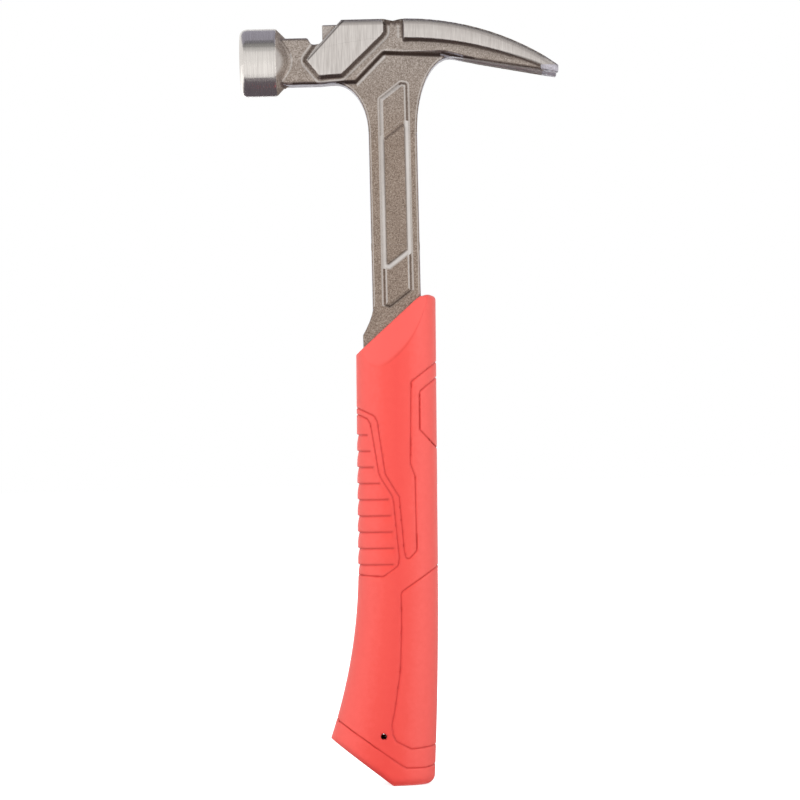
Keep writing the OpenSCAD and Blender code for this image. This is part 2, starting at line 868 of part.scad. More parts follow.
module upper_back_pad() {
    pad(back_pad_shares, seam_low(back_pad_shares));
}

module palm_pad() {
    pad(palm_shares, seam_low(palm_shares));
}

module butt_cap() {
    pad(butt_shares, 0);
}

hammer_forging();
nail_magnet();
grip_core();
upper_sleeve();
grip_body();
rib_pad();
upper_back_pad();
palm_pad();
butt_cap();
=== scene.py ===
"""Framing hammer: the forging's finish and the moulded grip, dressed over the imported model."""

import math
from types import SimpleNamespace

import bmesh
import bpy
import numpy as np
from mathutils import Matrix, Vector


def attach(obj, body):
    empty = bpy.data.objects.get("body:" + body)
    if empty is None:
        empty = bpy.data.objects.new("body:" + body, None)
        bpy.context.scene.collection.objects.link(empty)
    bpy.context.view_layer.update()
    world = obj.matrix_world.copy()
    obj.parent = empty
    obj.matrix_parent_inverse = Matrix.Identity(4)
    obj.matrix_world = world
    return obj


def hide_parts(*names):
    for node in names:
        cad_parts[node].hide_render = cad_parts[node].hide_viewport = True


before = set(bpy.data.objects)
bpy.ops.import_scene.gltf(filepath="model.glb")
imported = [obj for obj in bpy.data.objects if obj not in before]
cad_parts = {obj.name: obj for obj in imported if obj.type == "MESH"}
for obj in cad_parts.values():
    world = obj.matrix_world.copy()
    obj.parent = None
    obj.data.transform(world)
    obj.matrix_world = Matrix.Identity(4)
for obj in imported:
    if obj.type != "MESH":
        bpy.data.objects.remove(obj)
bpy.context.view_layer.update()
MM = 0.001

# Sizes in millimetres, the same as in the part's source.
OVERALL_L = 340.0
BELL_D, BELL_L, BELL_CONE_L, FACE_REACH, BELL_DROP = 30.2, 16.2, 7.0, 67.5, 17.5
NECK_H, NECK_T, NECK_TRIM = 20.0, 18.0, 0.8
CHEEK_L, CHEEK_H, CHEEK_BACK, PANEL_RISE, PANEL_SLOPE = 33.6, 24.2, 3.6, 2.0, 1.8
CLAW_REACH, CLAW_BEND, CLAW_TIP_W = 73.8, 3.5, 33.0
TIP_BEVEL_L, TIP_BEVEL_W = 6.5, 1.8
BAND_START, BAND_H, BAND_R = 5.7, 8.3, 143.0
THROAT_FRONT_W, THROAT_BACK_W, THROAT_PEAK_DROP, THROAT_SLOPE = 16.2, 16.0, 15.7, 1.6
THROAT_FRONT_H, THROAT_BACK_H, THROAT_ROUND = 23.0, 34.0, 2.1
CLAW_ROOT, CLAW_ROOT_DROP, CLAW_TOP_R, CLAW_TIP_T = 22.0, 16.3, 121.0, 3.2
SHAFT_W, SHAFT_T = 21.6, 12.0
RECESS_DROP, RECESS_L, RECESS_FRONT, RECESS_BACK = 25.4, 104.8, 5.0, 3.8
RECESS_SLANT, RECESS_NIP, STEP_L = 37.0, 3.0, 17.4
SHOULDER_OUT, SHOULDER_RISE, SHOULDER_SLOPE = 5.6, 5.6, 14.0
GRIP_L, GRIP_W, GRIP_T, GRIP_OFF, GRIP_LEAN, GRIP_ROUND = 217.4, 35.6, 26.0, 0.5, 0.8, 2.5
RIM_DROP, FLARE_H, TOE_H, TOE_OUT, HEEL_IN = 25.8, 98.0, 21.4, 12.7, 2.4
BUTT_SWELL, BUTT_FRONT, BUTT_EDGE_R, TOP_EDGE_R = 1.0, 6.5, 4.0, 2.4
SEAM_R, TOP_RIM_T = 1.4, 2.2
RIB_PITCH, RIB_COUNT, RIB_START = 7.2, 9, 98.2
LANYARD_D, LANYARD_REACH, LANYARD_H = 2.7, 10.2, 22.3

# Detail of the grip that only the dressed model has.
RIB_DEPTH, RIB_STEEP, RIB_GENTLE, RIB_MARGIN, RIB_FADE = 0.8, 0.48, 5.4, 1.4, 0.9
SEAM_HALF_W, SEAM_DEPTH, SEAM_ROUND = 0.5, 0.4, 1.5
WALL_T, BOSS_T = 1.6, 1.0
TOP_BEVEL_L, BEVEL_SOFT_T, BEVEL_FADE_T = 12.4, 0.25, 0.5
RIM_NOTCH, RIM_NOTCH_X, RIM_NOTCH_W = 0.8, 11.6, 2.8
LIP_ROLL = ((0.2, 0.14), (0.6, 0.2))
LIP_SLOPE_SHARE, LIP_SLOPE_RISE, LIP_FOOT_RISE, LIP_DEPTH = 0.75, 0.15, 0.1, 4.0
LIP_FIT, LIP_SPREAD = 0.2, 0.02

# How much painted shade, in the seams' dark tone, the deepest third of the ribs' grooves, the bevel's crease
# and each row of the lip take, and how far the lip counts as turned away, for the painted sheen of the edges.
RIB_SHADE = 0.8
CREASE_SHADE, CREASE_HALF_T, CREASE_FADE_L, CREASE_LEAST, CREASE_EDGE = 0.45, 0.3, 10.0, 0.2, 0.9
LIP_SHADE, LIP_PAINTED_SHEEN = (0, 0, 0.35, 1, 1), 0.5

# Columns and rows of the skin's points, and how far a point moves onto a seam.
COLUMNS, EDGE_ROWS, RIB_ROWS, LEVEL_ROWS, SLANTED_ROWS = 208, 8, 15, 129, 85
SNAP_REACH, SNAP_LIMIT, SNAP_EDGE = 0.31, 0.45, 0.985

# Detail of the forging that only the dressed model has.
TANG_CUT, VOXEL, SMOOTH_ROUNDS = 176.0, 0.46, 2
CURVED_OUT, CURVED_L, CURVED_POWER = 4.6, 11.1, 1.4
CORNER_R, GRIND_X, GRIND_L, GRIND_RISE = 2.0, 44.0, 20.0, 0.05
CHEEK_ROUND, THROAT_EDGE_R, RECESS_ROUND = 1.0, 1.2, 1.2
CHEEK_GROOVE, CHEEK_GROOVE_OUT, BAND_GROOVE, BAND_GROOVE_OUT, GROOVE_HALF_W = 0.4, 0.5, 0.3, 0.3, 1.0
TOP_ROLL, TOP_ROLL_DROP, BROW_ROLL, BROW_ROLL_DROP = 2.4, 1.0, 1.4, 0.4
RECESS_LIP, RECESS_LIP_OUT, RECESS_LIP_HALF_W = 0.18, 0.5, 0.8
CROWN_DIP, CROWN_DIP_HALF_W, CROWN_DIP_H = 0.8, 3.6, 2.0
BELLY, BELLY_H, BELLY_IN, BELLY_END, BELLY_FADE = 0.7, 1.5, 2.0, -22.0, 10.0

# Which points of the forging count as being on a form.
SIDE_FACING, SIDE_MARGIN, PANEL_MARGIN, BROW_MARGIN = 0.25, 1.2, 0.9, 0.4
SHAFT_MARGIN, RECESS_MARGIN, RECESS_END_H, RECESS_IN = 0.4, 4.0, 22.0, 0.6
CROWN_T, BAND_MARGIN, NECK_IN, NECK_LINE_H = 2.6, 0.6, 2.0, 9.4
THROAT_LINE_DROP, TAIL_L, TINE_IN_Y, TINE_FACING = 40.0, 14.0, 9.0, 0.4
STOP_FRONT, STOP_BACK, STOP_RISE = -32.0, -20.0, 6.0
HEAD_FADE_DROP, HEAD_FADE_H = 30.0, 40.0

# Waves of the ragged edge of the painted shade in the notch: height, waves per millimetre in radians, and
# start.
RAGGED_WAVES = ((0.45, 2.3, 0.6), (0.35, 5.1, 0.0))

# The bow of the painted highlight round the bell's cone, and how far under the bell's axis it is centred.
CONE_BOW, CONE_BOW_DROP = 0.08, 0.5

# A gap too far off for any line, and where a line ends, in half widths from its middle.
FAR, LINE_END = 9.0, 1.4

# Lines of painted shade and highlight on the steel: the gap each follows, the gap at its middle, its half
# width and strength.
FORGED_PAINTED_SHADES = [
    ("cheek", 1.0, 1.1, 0.75), ("cheek_front", 1.0, 1.1, 0.42), ("throat", -0.8, 0.8, 0.8),
    ("band", 1.0, 1.1, 0.75), ("recess", -0.55, 0.3, "faint_end"), ("upper_step", -1.4, 0.35, 0.5),
    ("slot", 1.3, 1.4, 0.85), ("edge", 0.1, 0.3, 0.5), ("upper_crease", 0.1, 0.4, 0.5),
    ("under", 0.4, 0.5, 0.75), ("tail", -1.6, 0.4, 0.75), ("band_end", 0.4, 0.8, 0.7)]
FORGED_PAINTED_HIGHLIGHTS = [
    ("strip", 2.8, 0.4, 0.6), ("crest", -2.1, 0.3, 0.4), ("foot", 0.6, 0.6, 0.6),
    ("rim", 0.4, 0.35, 0.55), ("rim", -1.4, 0.35, "faint_end"), ("recess", -0.8, 1.0, "faint_middle"),
    ("right_wall", -0.8, 1.0, "in_middle"), ("upper_wall", -0.9, 0.75, 0.62),
    ("lower_step", -0.7, 1.0, 0.9), ("edge", 0.85, 0.25, 0.5), ("crease", 0.2, 0.4, 0.45),
    ("cone", 1.4, 1.8, 0.75), ("inner", 0.0, 1.0, 0.8), ("band_end", 2.3, 0.45, 0.5),
    ("stop", 0.0, 1.0, 0.3)]
# The ground panels' lines are painted shade: a soft grey band inside their top edges and a dark line at the
# edges.
GROUND_PAINTED_SOFT_SHADES = [("top", 1.9, 0.75, 0.6), ("band_top", 1.6, 2.6, 0.3)]
GROUND_PAINTED_DARK_SHADES = [("top", 0.0, 0.45, 0.8), ("brow", 1.0, 0.35, 0.75), ("band", 1.0, 0.75, 0.8)]

# Studio: the world's light, the floor's own white, cards that show only in reflections, and soft lamps.
WORLD_LIGHT, FLOOR_GLOW, FLOOR_W = 0.42, 0.74, 12000
CARD_W = 2400
CARDS = {
    "low_card": ((700, 1400), (0, 465, 1), (0.134, 0.115, 0.134, 1)),
    "front_card": ((CARD_W, 2300), (0, -1385, 1), (1.1, 1.1, 1.1, 1)),
    "top_card": ((CARD_W, 2000), (0, 560, 1500), (0.38, 0.375, 0.45, 1)),
    "top_strip": ((CARD_W, 120), (0, -380, 1480), (0.06, 0.06, 0.07, 1)),
}
SOFT_STRIP_Z = 1490
SOFT_STRIP_EDGES = (-440, -700, -950, -1200, -1500, -1900)
SOFT_STRIP_TONES = (0.2, 0.35, 0.52, 0.7, 0.88)
LAMPS = {
    "key": ((-1100, -1600, 1400), 1400, 26),
    "fill": ((1300, -1500, 700), 1600, 15),
    "back": ((-300, 2000, 600), 1600, 24),
}
LAMP_AIM = (0, 0, 200)

# The camera that took the photograph.
CAMERA_REACH, CAMERA_X, CAMERA_Z = 1700.0, 0.4, 170.98
FRAME_W, SENSOR_W, CAMERA_ROLL = 356.56, 36.0, 1.34

BELL_Z = OVERALL_L - BELL_DROP
NECK_FOOT = BELL_Z - NECK_H / 2
MID_Y = NECK_T / 2
CONE_END_R = min(NECK_H, NECK_T) / 2
PANEL_Y = MID_Y + PANEL_RISE
SHAFT_Y = SHAFT_T / 2
SHOULDER_TOP = GRIP_L - RIM_DROP + SHOULDER_RISE + SHOULDER_SLOPE
BAND_END = CLAW_REACH - TIP_BEVEL_L


# Meshes

def new_piece(name, points, faces, materials, attributes=None):
    """A smooth mesh object from points in millimetres, with values per point."""
    mesh = bpy.data.meshes.new(name)
    mesh.from_pydata((np.asarray(points) * MM).tolist(), [], faces)
    for key, values in (attributes or {}).items():
        layer = mesh.attributes.new(key, "FLOAT", "POINT")
        layer.data.foreach_set("value", np.asarray(values, np.float32))
    mesh.polygons.foreach_set("use_smooth", np.ones(len(mesh.polygons), bool))
    for material in materials:
        mesh.materials.append(material)
    mesh.update()
    piece = bpy.data.objects.new(name, mesh)
    bpy.context.scene.collection.objects.link(piece)
    return piece


def rounded(points, radius, steps=6):
    """A closed outline whose corners are rounded."""
    points = [np.array(p, float) for p in points]
    loop = []
    for i, corner in enumerate(points):
        before, after = points[i - 1] - corner, points[(i + 1) % len(points)] - corner
        len_before, len_after = np.linalg.norm(before), np.linalg.norm(after)
        before, after = before / len_before, after / len_after
        half = math.acos(max(-1, min(1, float(before @ after)))) / 2
        cut = min(radius / max(math.tan(half), 1e-3), 0.45 * len_before, 0.45 * len_after)
        for t in np.linspace(0, 1, steps):
            loop.append(corner + before * cut * (1 - t) ** 2 + after * cut * t ** 2)
    return np.array(loop)


def nearest_on(loop, x, z):
    """The nearest point of a closed outline to each point of the side view."""
    best = np.full(x.shape, np.inf)
    near_x, near_z = np.zeros_like(x), np.zeros_like(z)
    for (ax, az), (bx, bz) in zip(loop, np.roll(loop, -1, axis=0)):
        dx, dz = bx - ax, bz - az
        length = dx * dx + dz * dz
        if length < 1e-9:
            continue
        t = np.clip(((x - ax) * dx + (z - az) * dz) / length, 0, 1)
        px, pz = ax + t * dx, az + t * dz
        gap = (x - px) ** 2 + (z - pz) ** 2
        closer = gap < best
        best[closer], near_x[closer], near_z[closer] = gap[closer], px[closer], pz[closer]
    return np.sqrt(best), near_x, near_z


def inside(loop, x, z):
    result = np.zeros(x.shape, bool)
    for (ax, az), (bx, bz) in zip(loop, np.roll(loop, -1, axis=0)):
        if az == bz:
            continue
        crosses = (az > z) != (bz > z)
        result ^= crosses & (x < ax + (z - az) * (bx - ax) / (bz - az))
    return result


def signed_distance(loop, x, z):
    """Distance to a closed outline, negative inside."""
    gap = nearest_on(loop, x, z)[0]
    return np.where(inside(loop, x, z), -gap, gap)


def bump_at(s, centre, half):
    """1 at centre, falling to 0 at half on either side."""
    return np.clip(1 - np.abs(s - centre) / half, 0, 1)


# The grip's skin

FLARE_R = ((FLARE_H - TOE_H) ** 2 + TOE_OUT ** 2) / (2 * TOE_OUT)
HEEL_R = (FLARE_H ** 2 + HEEL_IN ** 2) / (2 * HEEL_IN)
RIM_SLANT = math.atan2(RIM_DROP, GRIP_W / 2 + GRIP_OFF + SHAFT_W / 2)
LIFT_SHARE = 0.6


def sag(r, d):
    return r - np.sqrt(np.maximum(r * r - d * d, 0))


def curl(c):
    return np.sign(c) * np.abs(c) ** (2 / GRIP_ROUND)


def lean_x(h):
    return -GRIP_OFF - (GRIP_L - h) * math.tan(math.radians(GRIP_LEAN))


def toe_lift(h):
    return TOE_H * np.maximum(1 - h / (LIFT_SHARE * FLARE_H), 0)


def front_x(h):
    z = h + toe_lift(h)
    return lean_x(z) - GRIP_W / 2 - sag(FLARE_R, np.maximum(FLARE_H - z, 0))


def edge_in(h):
    low = sag(BUTT_EDGE_R, np.clip(BUTT_EDGE_R - h, 0, BUTT_EDGE_R))
    return low + sag(TOP_EDGE_R, np.clip(h - GRIP_L + TOP_EDGE_R, 0, TOP_EDGE_R))


def section(h):
    """Middle, half width and half thickness of the section that leaves the back at height h."""
    back = lean_x(h) + GRIP_W / 2 - sag(HEEL_R, np.maximum(FLARE_H - h, 0)) - edge_in(h)
    front = front_x(h)
    swell = np.clip((FLARE_H - h) / (FLARE_H - TOE_H), 0, 1)
    return (front + back) / 2, (back - front) / 2, GRIP_T / 2 + BUTT_SWELL * swell ** 2 - edge_in(h)


def lift(x, h):
    return toe_lift(h) * np.maximum(-BUTT_FRONT - x, 0) / (-BUTT_FRONT - front_x(h))


def level_of(x, z):
    """The level of the section that passes through a point of the side view."""
    h = z.copy()
    for _ in range(14):
        h = z - lift(x, np.maximum(h, 0))
    return h


def rim_z(x):
    """Height of the grip's slanted top, with the notch before its lobe."""
    slanted = np.minimum(GRIP_L - (SHAFT_W / 2 - x) * math.tan(RIM_SLANT), GRIP_L)
    return slanted - RIM_NOTCH * bump_at(x, RIM_NOTCH_X, RIM_NOTCH_W)


def bevel_limit(x, z):
    """Half thickness of the bevel along the slanted top."""
    depth = (x - SHAFT_W / 2) * math.sin(RIM_SLANT) - (z - GRIP_L) * math.cos(RIM_SLANT)
    rise = (GRIP_T / 2 - SHAFT_Y - TOP_RIM_T) / TOP_BEVEL_L
    return SHAFT_Y + TOP_RIM_T + rise * depth


def under_bevel(x, y, z):
    """Half thickness y, held under the bevel."""
    limit = bevel_limit(x, z)
    low = np.minimum(y, limit)
    return low - np.maximum(BEVEL_SOFT_T - np.abs(y - limit), 0) ** 2 / (4 * BEVEL_SOFT_T)


def seam(shares):
    return rounded([(x * GRIP_W, z * GRIP_L) for x, z in shares], SEAM_R)


SEAMS = {
    "upper_sleeve": seam([
        (-1.2, 1.2), (-1.2, 0.772), (-0.525, 0.772), (-0.318, 0.755), (-0.281, 0.743),
        (-0.197, 0.637), (-0.16, 0.626), (-0.065, 0.599), (-0.025, 0.589), (0.022, 0.48),
        (0.039, 0.4645), (0.084, 0.4625), (0.18, 0.479), (0.18, 0.63), (0.124, 0.656),
        (0.154, 0.823), (0.441, 0.858), (1.2, 0.95), (1.2, 1.2)]),
    "rib_pad": seam([
        (-1.2, 0.431), (-1.2, 0.7585), (-0.517, 0.7585), (-0.404, 0.749), (-0.368, 0.739),
        (-0.278, 0.639), (-0.247, 0.6265), (-0.115, 0.5915), (-0.098, 0.579), (-0.042, 0.4645),
        (-0.062, 0.4485), (-0.247, 0.4275), (-0.54, 0.431)]),
    "upper_back_pad": seam([
        (1.2, 0.93), (0.42, 0.824), (0.261, 0.803), (0.25, 0.726), (0.446, 0.69), (1.2, 0.55)]),
    "palm_pad": seam([
        (1.2, 0.567), (0.404, 0.442), (-0.011, 0.397), (-0.031, 0.392), (-0.034, 0.324),
        (-0.062, 0.233), (-0.14, 0.156), (-0.183, 0.1255), (-0.171, 0.106), (-0.132, 0.092),
        (0.056, 0.0755), (0.208, 0.0773), (0.343, 0.08), (1.2, 0.1)]),
    "butt_cap": seam([
        (-1.2, 0.205), (-0.84, 0.134), (-0.081, 0.0437), (-0.008, 0.0373), (0.222, 0.0363),
        (0.337, 0.04), (1.2, 0.067), (1.2, -0.2), (-1.2, -0.2)]),
}
RIB_EDGE = [
    (0.4275, -0.247), (0.431, -0.15), (0.4485, -0.062), (0.4645, -0.042), (0.579, -0.098),
    (0.5915, -0.115), (0.6265, -0.247), (0.639, -0.278), (0.739, -0.368), (0.749, -0.404),
    (0.7585, -0.517)]


def column_angles():
    """Turns round a section that space its points evenly."""
    turn = np.linspace(0, math.pi, 2001)
    x = GRIP_W / 2 * curl(np.cos(turn))
    y = GRIP_T / 2 * curl(np.sin(turn))
    run = np.concatenate([[0], np.cumsum(np.hypot(np.diff(x), np.diff(y)))])
    half = np.interp(np.linspace(0, run[-1], COLUMNS // 2 + 1), run, turn)
    return np.concatenate([half, 2 * math.pi - half[-2:0:-1]])


def grip_grid():
    """Turn and level of each point of the grip's skin, rows from the butt to the rim."""
    step = RIB_PITCH / RIB_ROWS
    count = int((RIB_START - BUTT_EDGE_R) / step)
    edge = BUTT_EDGE_R * (1 - np.cos(np.linspace(0, math.pi / 2, EDGE_ROWS + 1)))[:-1]
    levels = np.concatenate([edge, RIB_START + step * np.arange(-count, LEVEL_ROWS)])
    start = levels[-1]
    shares = np.linspace(0, 1, SLANTED_ROWS + 1)[1:]
    rows = np.concatenate([levels, start + (GRIP_L - start) * shares])
    h = np.repeat(rows[:, None], COLUMNS, axis=1)
    a = np.repeat(column_angles()[None, :], len(h), axis=0)
    slanted = slice(len(levels), None)
    for _ in range(6):
        middle, half, _t = section(h[slanted])
        x = middle + half * curl(np.cos(a[slanted]))
        h[slanted] = start + shares[:, None] * (rim_z(x) - start)
    return a, h


def skin(a, h):
    middle, half, t = section(h)
    x = middle + half * curl(np.cos(a))
    z = h + lift(x, h)
    y = under_bevel(x, t * np.abs(curl(np.sin(a))), z)
    return x, np.where(np.sin(a) < 0, -y, y), z


def hole_outline():
    """The lanyard hole in the side view."""
    turn = np.linspace(0, 2 * math.pi, 33)[:-1]
    x, z = LANYARD_D / 2 * np.cos(turn), LANYARD_D / 2 * np.sin(turn)
    return np.stack([x - LANYARD_REACH, z + LANYARD_H], axis=1)


def snap_to_seams(a, h, x, y, z):
    """Moves the points next to a seam or the lanyard hole onto it, along the skin."""
    gap = np.full(x.shape, np.inf)
    near_x, near_z = x.copy(), z.copy()
    for loop in [*SEAMS.values(), hole_outline()]:
        d, px, pz = nearest_on(loop, x, z)
        closer = d < gap
        gap[closer], near_x[closer], near_z[closer] = d[closer], px[closer], pz[closer]
    dx, dz = near_x - x, near_z - z
    close = (gap < SNAP_REACH) & (gap > 1e-6) & (h > BUTT_EDGE_R)
    upright = close & (np.abs(dz) >= np.abs(dx))
    rise = np.where(upright, gap * gap / np.where(upright, dz, 1), 0)
    upright &= np.abs(rise) < SNAP_LIMIT
    h2 = np.where(upright, level_of(x, z + rise), h)
    x2, y2, z2 = skin(a, h2)
    x, y, z = np.where(upright, x2, x), np.where(upright, y2, y), np.where(upright, z2, z)
    level = close & ~upright & (np.abs(dx) > np.abs(dz))
    run = np.where(level, gap * gap / np.where(level, dx, 1), 0)
    x3 = x + run
    middle, half, t = section(h)
    level &= (np.abs(run) < SNAP_LIMIT) & (np.abs(x3 - middle) < SNAP_EDGE * half)
    share = np.clip(np.abs(x3 - middle) / half, 0, 1)
    y3 = under_bevel(x3, t * (1 - share ** GRIP_ROUND) ** (1 / GRIP_ROUND), z)
    x = np.where(level, x3, x)
    y = np.where(level, np.where(y < 0, -y3, y3), y)
    gap = np.where(upright | level, 0, gap)
    return x, y, z, gap


def grid_normals(p):
    across = np.roll(p, -1, axis=1) - np.roll(p, 1, axis=1)
    up = np.gradient(p, axis=0)
    n = np.cross(across, up)
    return n / np.maximum(np.linalg.norm(n, axis=2, keepdims=True), 1e-9)


def rib_depth(x, z):
    """Depth of the grooves across the rib pad, as a share of their full depth."""
    edge_h = np.array([p[0] for p in RIB_EDGE]) * GRIP_L
    edge_x = np.array([p[1] for p in RIB_EDGE]) * GRIP_W
    fade = np.clip((np.interp(z, edge_h, edge_x) - RIB_MARGIN - x) / RIB_FADE, 0, 1)
    depth = np.zeros_like(z)
    for i in range(RIB_COUNT):
        d = z - RIB_START - i * RIB_PITCH
        above, below = 1 - d / RIB_STEEP, (1 - np.minimum(-d / RIB_GENTLE, 1)) ** 2
        depth = np.maximum(depth, np.where(d > 0, above, below))
    return depth * fade


def lip_rows(rim):
    """The rolled edge of the slanted top, its way in to the steel and down along it."""
    front, back, side = SHAFT_W / 2 + CURVED_OUT - LIP_FIT, SHAFT_W / 2 - LIP_FIT, SHAFT_Y - LIP_FIT
    x, y = np.clip(rim[:, 0], -front, back), np.clip(rim[:, 1], -side, side)
    steel = np.stack([x, y, rim_z(x)], axis=1)
    steel += LIP_SPREAD * (rim - steel)
    way = steel - rim
    length = np.linalg.norm(way, axis=1, keepdims=True)
    way = way / length
    up = np.array([0, 0, 1.0])
    rows = [rim + way * inward + up * rise for inward, rise in LIP_ROLL]
    rows.append(rim + way * length * LIP_SLOPE_SHARE + up * LIP_SLOPE_RISE)
    rows += [steel + up * LIP_FOOT_RISE, steel - up * LIP_DEPTH]
    return np.array(rows)


def grip_surface():
    """Points of the grip's skin and lip, with their shares of painted shade and painted light, and the points
    of the wall's inner side.
    """
    a, h = grip_grid()
    x, y, z = skin(a, h)
    x, y, z, gap = snap_to_seams(a, h, x, y, z)
    flat = np.stack([x, y, z], axis=2)
    normal = grid_normals(flat)
    groove = np.clip(1 - gap / SEAM_HALF_W, 0, 1)
    ribs = np.where(inside(SEAMS["rib_pad"], x, z), rib_depth(x, z), 0)
    sunk = np.maximum(SEAM_DEPTH * groove ** SEAM_ROUND, RIB_DEPTH * ribs)
    outer = flat - normal * sunk[:, :, None]
    under = flat - normal * WALL_T
    middle, half_w, half_t = section(h)
    edge = np.clip(np.abs(x - middle) / half_w, 0, 1)
    full = half_t * np.abs(curl(np.sin(a)))
    cut = full - bevel_limit(x, z)
    bevel = np.clip(cut / BEVEL_FADE_T, 0, 1)
    # Painted shade along the bevel's crease and in the deepest third of the ribs' grooves, taken with the
    # seams' dark.
    crease = CREASE_SHADE * bump_at(cut, 0, CREASE_HALF_T) * (edge < CREASE_EDGE)
    crease *= np.clip(1 + x / CREASE_FADE_L, CREASE_LEAST, 1)
    dark = np.maximum.reduce([groove, crease, RIB_SHADE * np.clip(3 * ribs - 2, 0, 1)])
    lip = lip_rows(outer[-1])
    on_lip = np.ones((len(lip), COLUMNS))
    shares = {
        "seam": np.concatenate([dark, on_lip * np.array(LIP_SHADE)[:, None]]).ravel(),
        "painted_edge_sheen": np.concatenate([edge, on_lip * LIP_PAINTED_SHEEN]).ravel(),
        "bevel": np.concatenate([bevel, on_lip]).ravel(),
    }
    points = np.concatenate([outer, lip]).reshape(-1, 3)
    inner = np.concatenate([under, np.repeat(under[-1:], len(lip), axis=0)]).reshape(-1, 3)
    flat_points = np.concatenate([flat, lip]).reshape(-1, 3)
    return points, inner, flat_points, shares


def from_hole(points):
    """Distance from the axis of the lanyard hole."""
    return np.hypot(points[:, 0] + LANYARD_REACH, points[:, 2] - LANYARD_H)


def skin_faces(flat_points):
    """The faces of each moulding's skin, sorted by the seams' outlines."""
    rows = len(flat_points) // COLUMNS
    row, column = np.meshgrid(np.arange(rows - 1), np.arange(COLUMNS), indexing="ij")
    after = (column + 1) % COLUMNS
    low, high = row * COLUMNS, (row + 1) * COLUMNS
    quads = np.stack([low + column, low + after, high + after, high + column], axis=2).reshape(-1, 4)
    centre = flat_points[quads].mean(axis=1)
    owner = np.full(len(quads), "grip_body", dtype=object)
    for name, loop in SEAMS.items():
        owner[inside(loop, centre[:, 0], centre[:, 2])] = name
    owner[quads[:, 0] >= (rows - len(LIP_SHADE) - 1) * COLUMNS] = "upper_sleeve"
    solid = from_hole(centre) > LANYARD_D / 2
    faces = {name: quads[(owner == name) & solid].tolist() for name in [*SEAMS, "grip_body"]}
    half = COLUMNS // 2
    faces["butt_cap"].append([1, 0, COLUMNS - 1])
    faces["butt_cap"] += [[j + 1, j, COLUMNS - j, COLUMNS - j - 1] for j in range(1, half - 1)]
    faces["butt_cap"].append([half, half - 1, half + 1])
    return faces


def mirrored(i):
    """The point of the skin across the middle plane."""
    row, column = divmod(i, COLUMNS)
    return row * COLUMNS + (COLUMNS - column) % COLUMNS


def open_edges(polygons):
    """The directed edges that bound a set of faces."""
    edges = {edge for polygon in polygons for edge in zip(polygon, polygon[1:] + polygon[:1])}
    return sorted((a, b) for a, b in edges if (b, a) not in edges)


def shell_faces(outer, points):
    """A moulding's faces: its skin, the wall's inner side and edges, and the bore of a hole through it.

    The points of the inner side are numbered after the skin's, and the points of the edges after those.
    """
    under, edge = len(points), 2 * len(points)
    skin_count = len(points) - len(LIP_SHADE) * COLUMNS
    reach = from_hole(points) - LANYARD_D / 2
    lined = [
        polygon for polygon in outer
        if max(polygon) < skin_count and min(reach[i] for i in polygon) > BOSS_T]
    faces = outer + [[under + i for i in reversed(polygon)] for polygon in lined]
    bore = []
    for a, b in open_edges(outer):
        if reach[a] > BOSS_T:
            faces.append([edge + b, edge + a, under + a, under + b])
        elif points[a, 1] < 0:
            bore.append([edge + b, edge + a, edge + mirrored(a), edge + mirrored(b)])
    for a, b in open_edges(lined):
        if reach[a] < 2 * BOSS_T and points[a, 1] < 0:
            faces.append([under + a, under + b, under + mirrored(b), under + mirrored(a)])
    return faces, bore


def grip_pieces(material, painted_shade_bore_wall):
    """The six red mouldings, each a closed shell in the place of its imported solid."""
    points, inner, flat_points, shares = grip_surface()
    every_point = np.concatenate([points, inner, points])
    for name, outer in skin_faces(flat_points).items():
        shell, bore = shell_faces(outer, points)
        used = sorted({i for polygon in shell + bore for i in polygon})
        number = {i: k for k, i in enumerate(used)}
        polygons = [[number[i] for i in polygon] for polygon in shell + bore]
        piece_shares = {key: np.tile(values, 3)[used] for key, values in shares.items()}
        materials = [material, painted_shade_bore_wall] if bore else [material]
        piece = new_piece(name + "_moulding", every_point[used], polygons, materials, piece_shares)
        for polygon in piece.data.polygons[len(shell):]:
            polygon.material_index = 1
        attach(piece, "root")
        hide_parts(name)


# The forging

CHEEK_SHARES = [(0, 0.28), (0.16, 0), (0.44, 0.02), (0.955, 0.69), (1, 0.76), (1, 1), (0.46, 1), (0.12, 0.5)]
CHEEK_FRONT, CHEEK_FOOT = -CHEEK_BACK - CHEEK_L, OVERALL_L - CHEEK_H
CHEEK = np.array([(CHEEK_FRONT + x * CHEEK_L, CHEEK_FOOT + z * CHEEK_H) for x, z in CHEEK_SHARES])


def cut_forging(keep_upper):
    """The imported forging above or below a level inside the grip."""
    bm = bmesh.new()
    bm.from_mesh(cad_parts["hammer_forging"].data)
    bmesh.ops.remove_doubles(bm, verts=bm.verts, dist=1e-6)
    geometry = [*bm.verts, *bm.edges, *bm.faces]
    bmesh.ops.bisect_plane(
        bm, geom=geometry, plane_co=(0, 0, TANG_CUT * MM), plane_no=(0, 0, 1),
        clear_inner=keep_upper, clear_outer=not keep_upper)
    rim = [e for e in bm.edges if e.is_boundary]
    bmesh.ops.holes_fill(bm, edges=rim, sides=0)
    bmesh.ops.recalc_face_normals(bm, faces=bm.faces)
    mesh = bpy.data.meshes.new("forging_cut")
    bm.to_mesh(mesh)
    bm.free()
    return mesh


def softened(mesh):
    """The mesh rebuilt from small cells, so that its edges are rounded as a forging's are."""
    holder = bpy.data.objects.new("forging_cells", mesh)
    bpy.context.scene.collection.objects.link(holder)
    cells = holder.modifiers.new("cells", "REMESH")
    cells.mode = "VOXEL"
    cells.voxel_size = VOXEL * MM
    smooth = holder.modifiers.new("smooth", "SMOOTH")
    smooth.factor = 0.5
    smooth.iterations = SMOOTH_ROUNDS
    graph = bpy.context.evaluated_depsgraph_get()
    result = bpy.data.meshes.new_from_object(holder.evaluated_get(graph))
    bpy.data.objects.remove(holder)
    return result


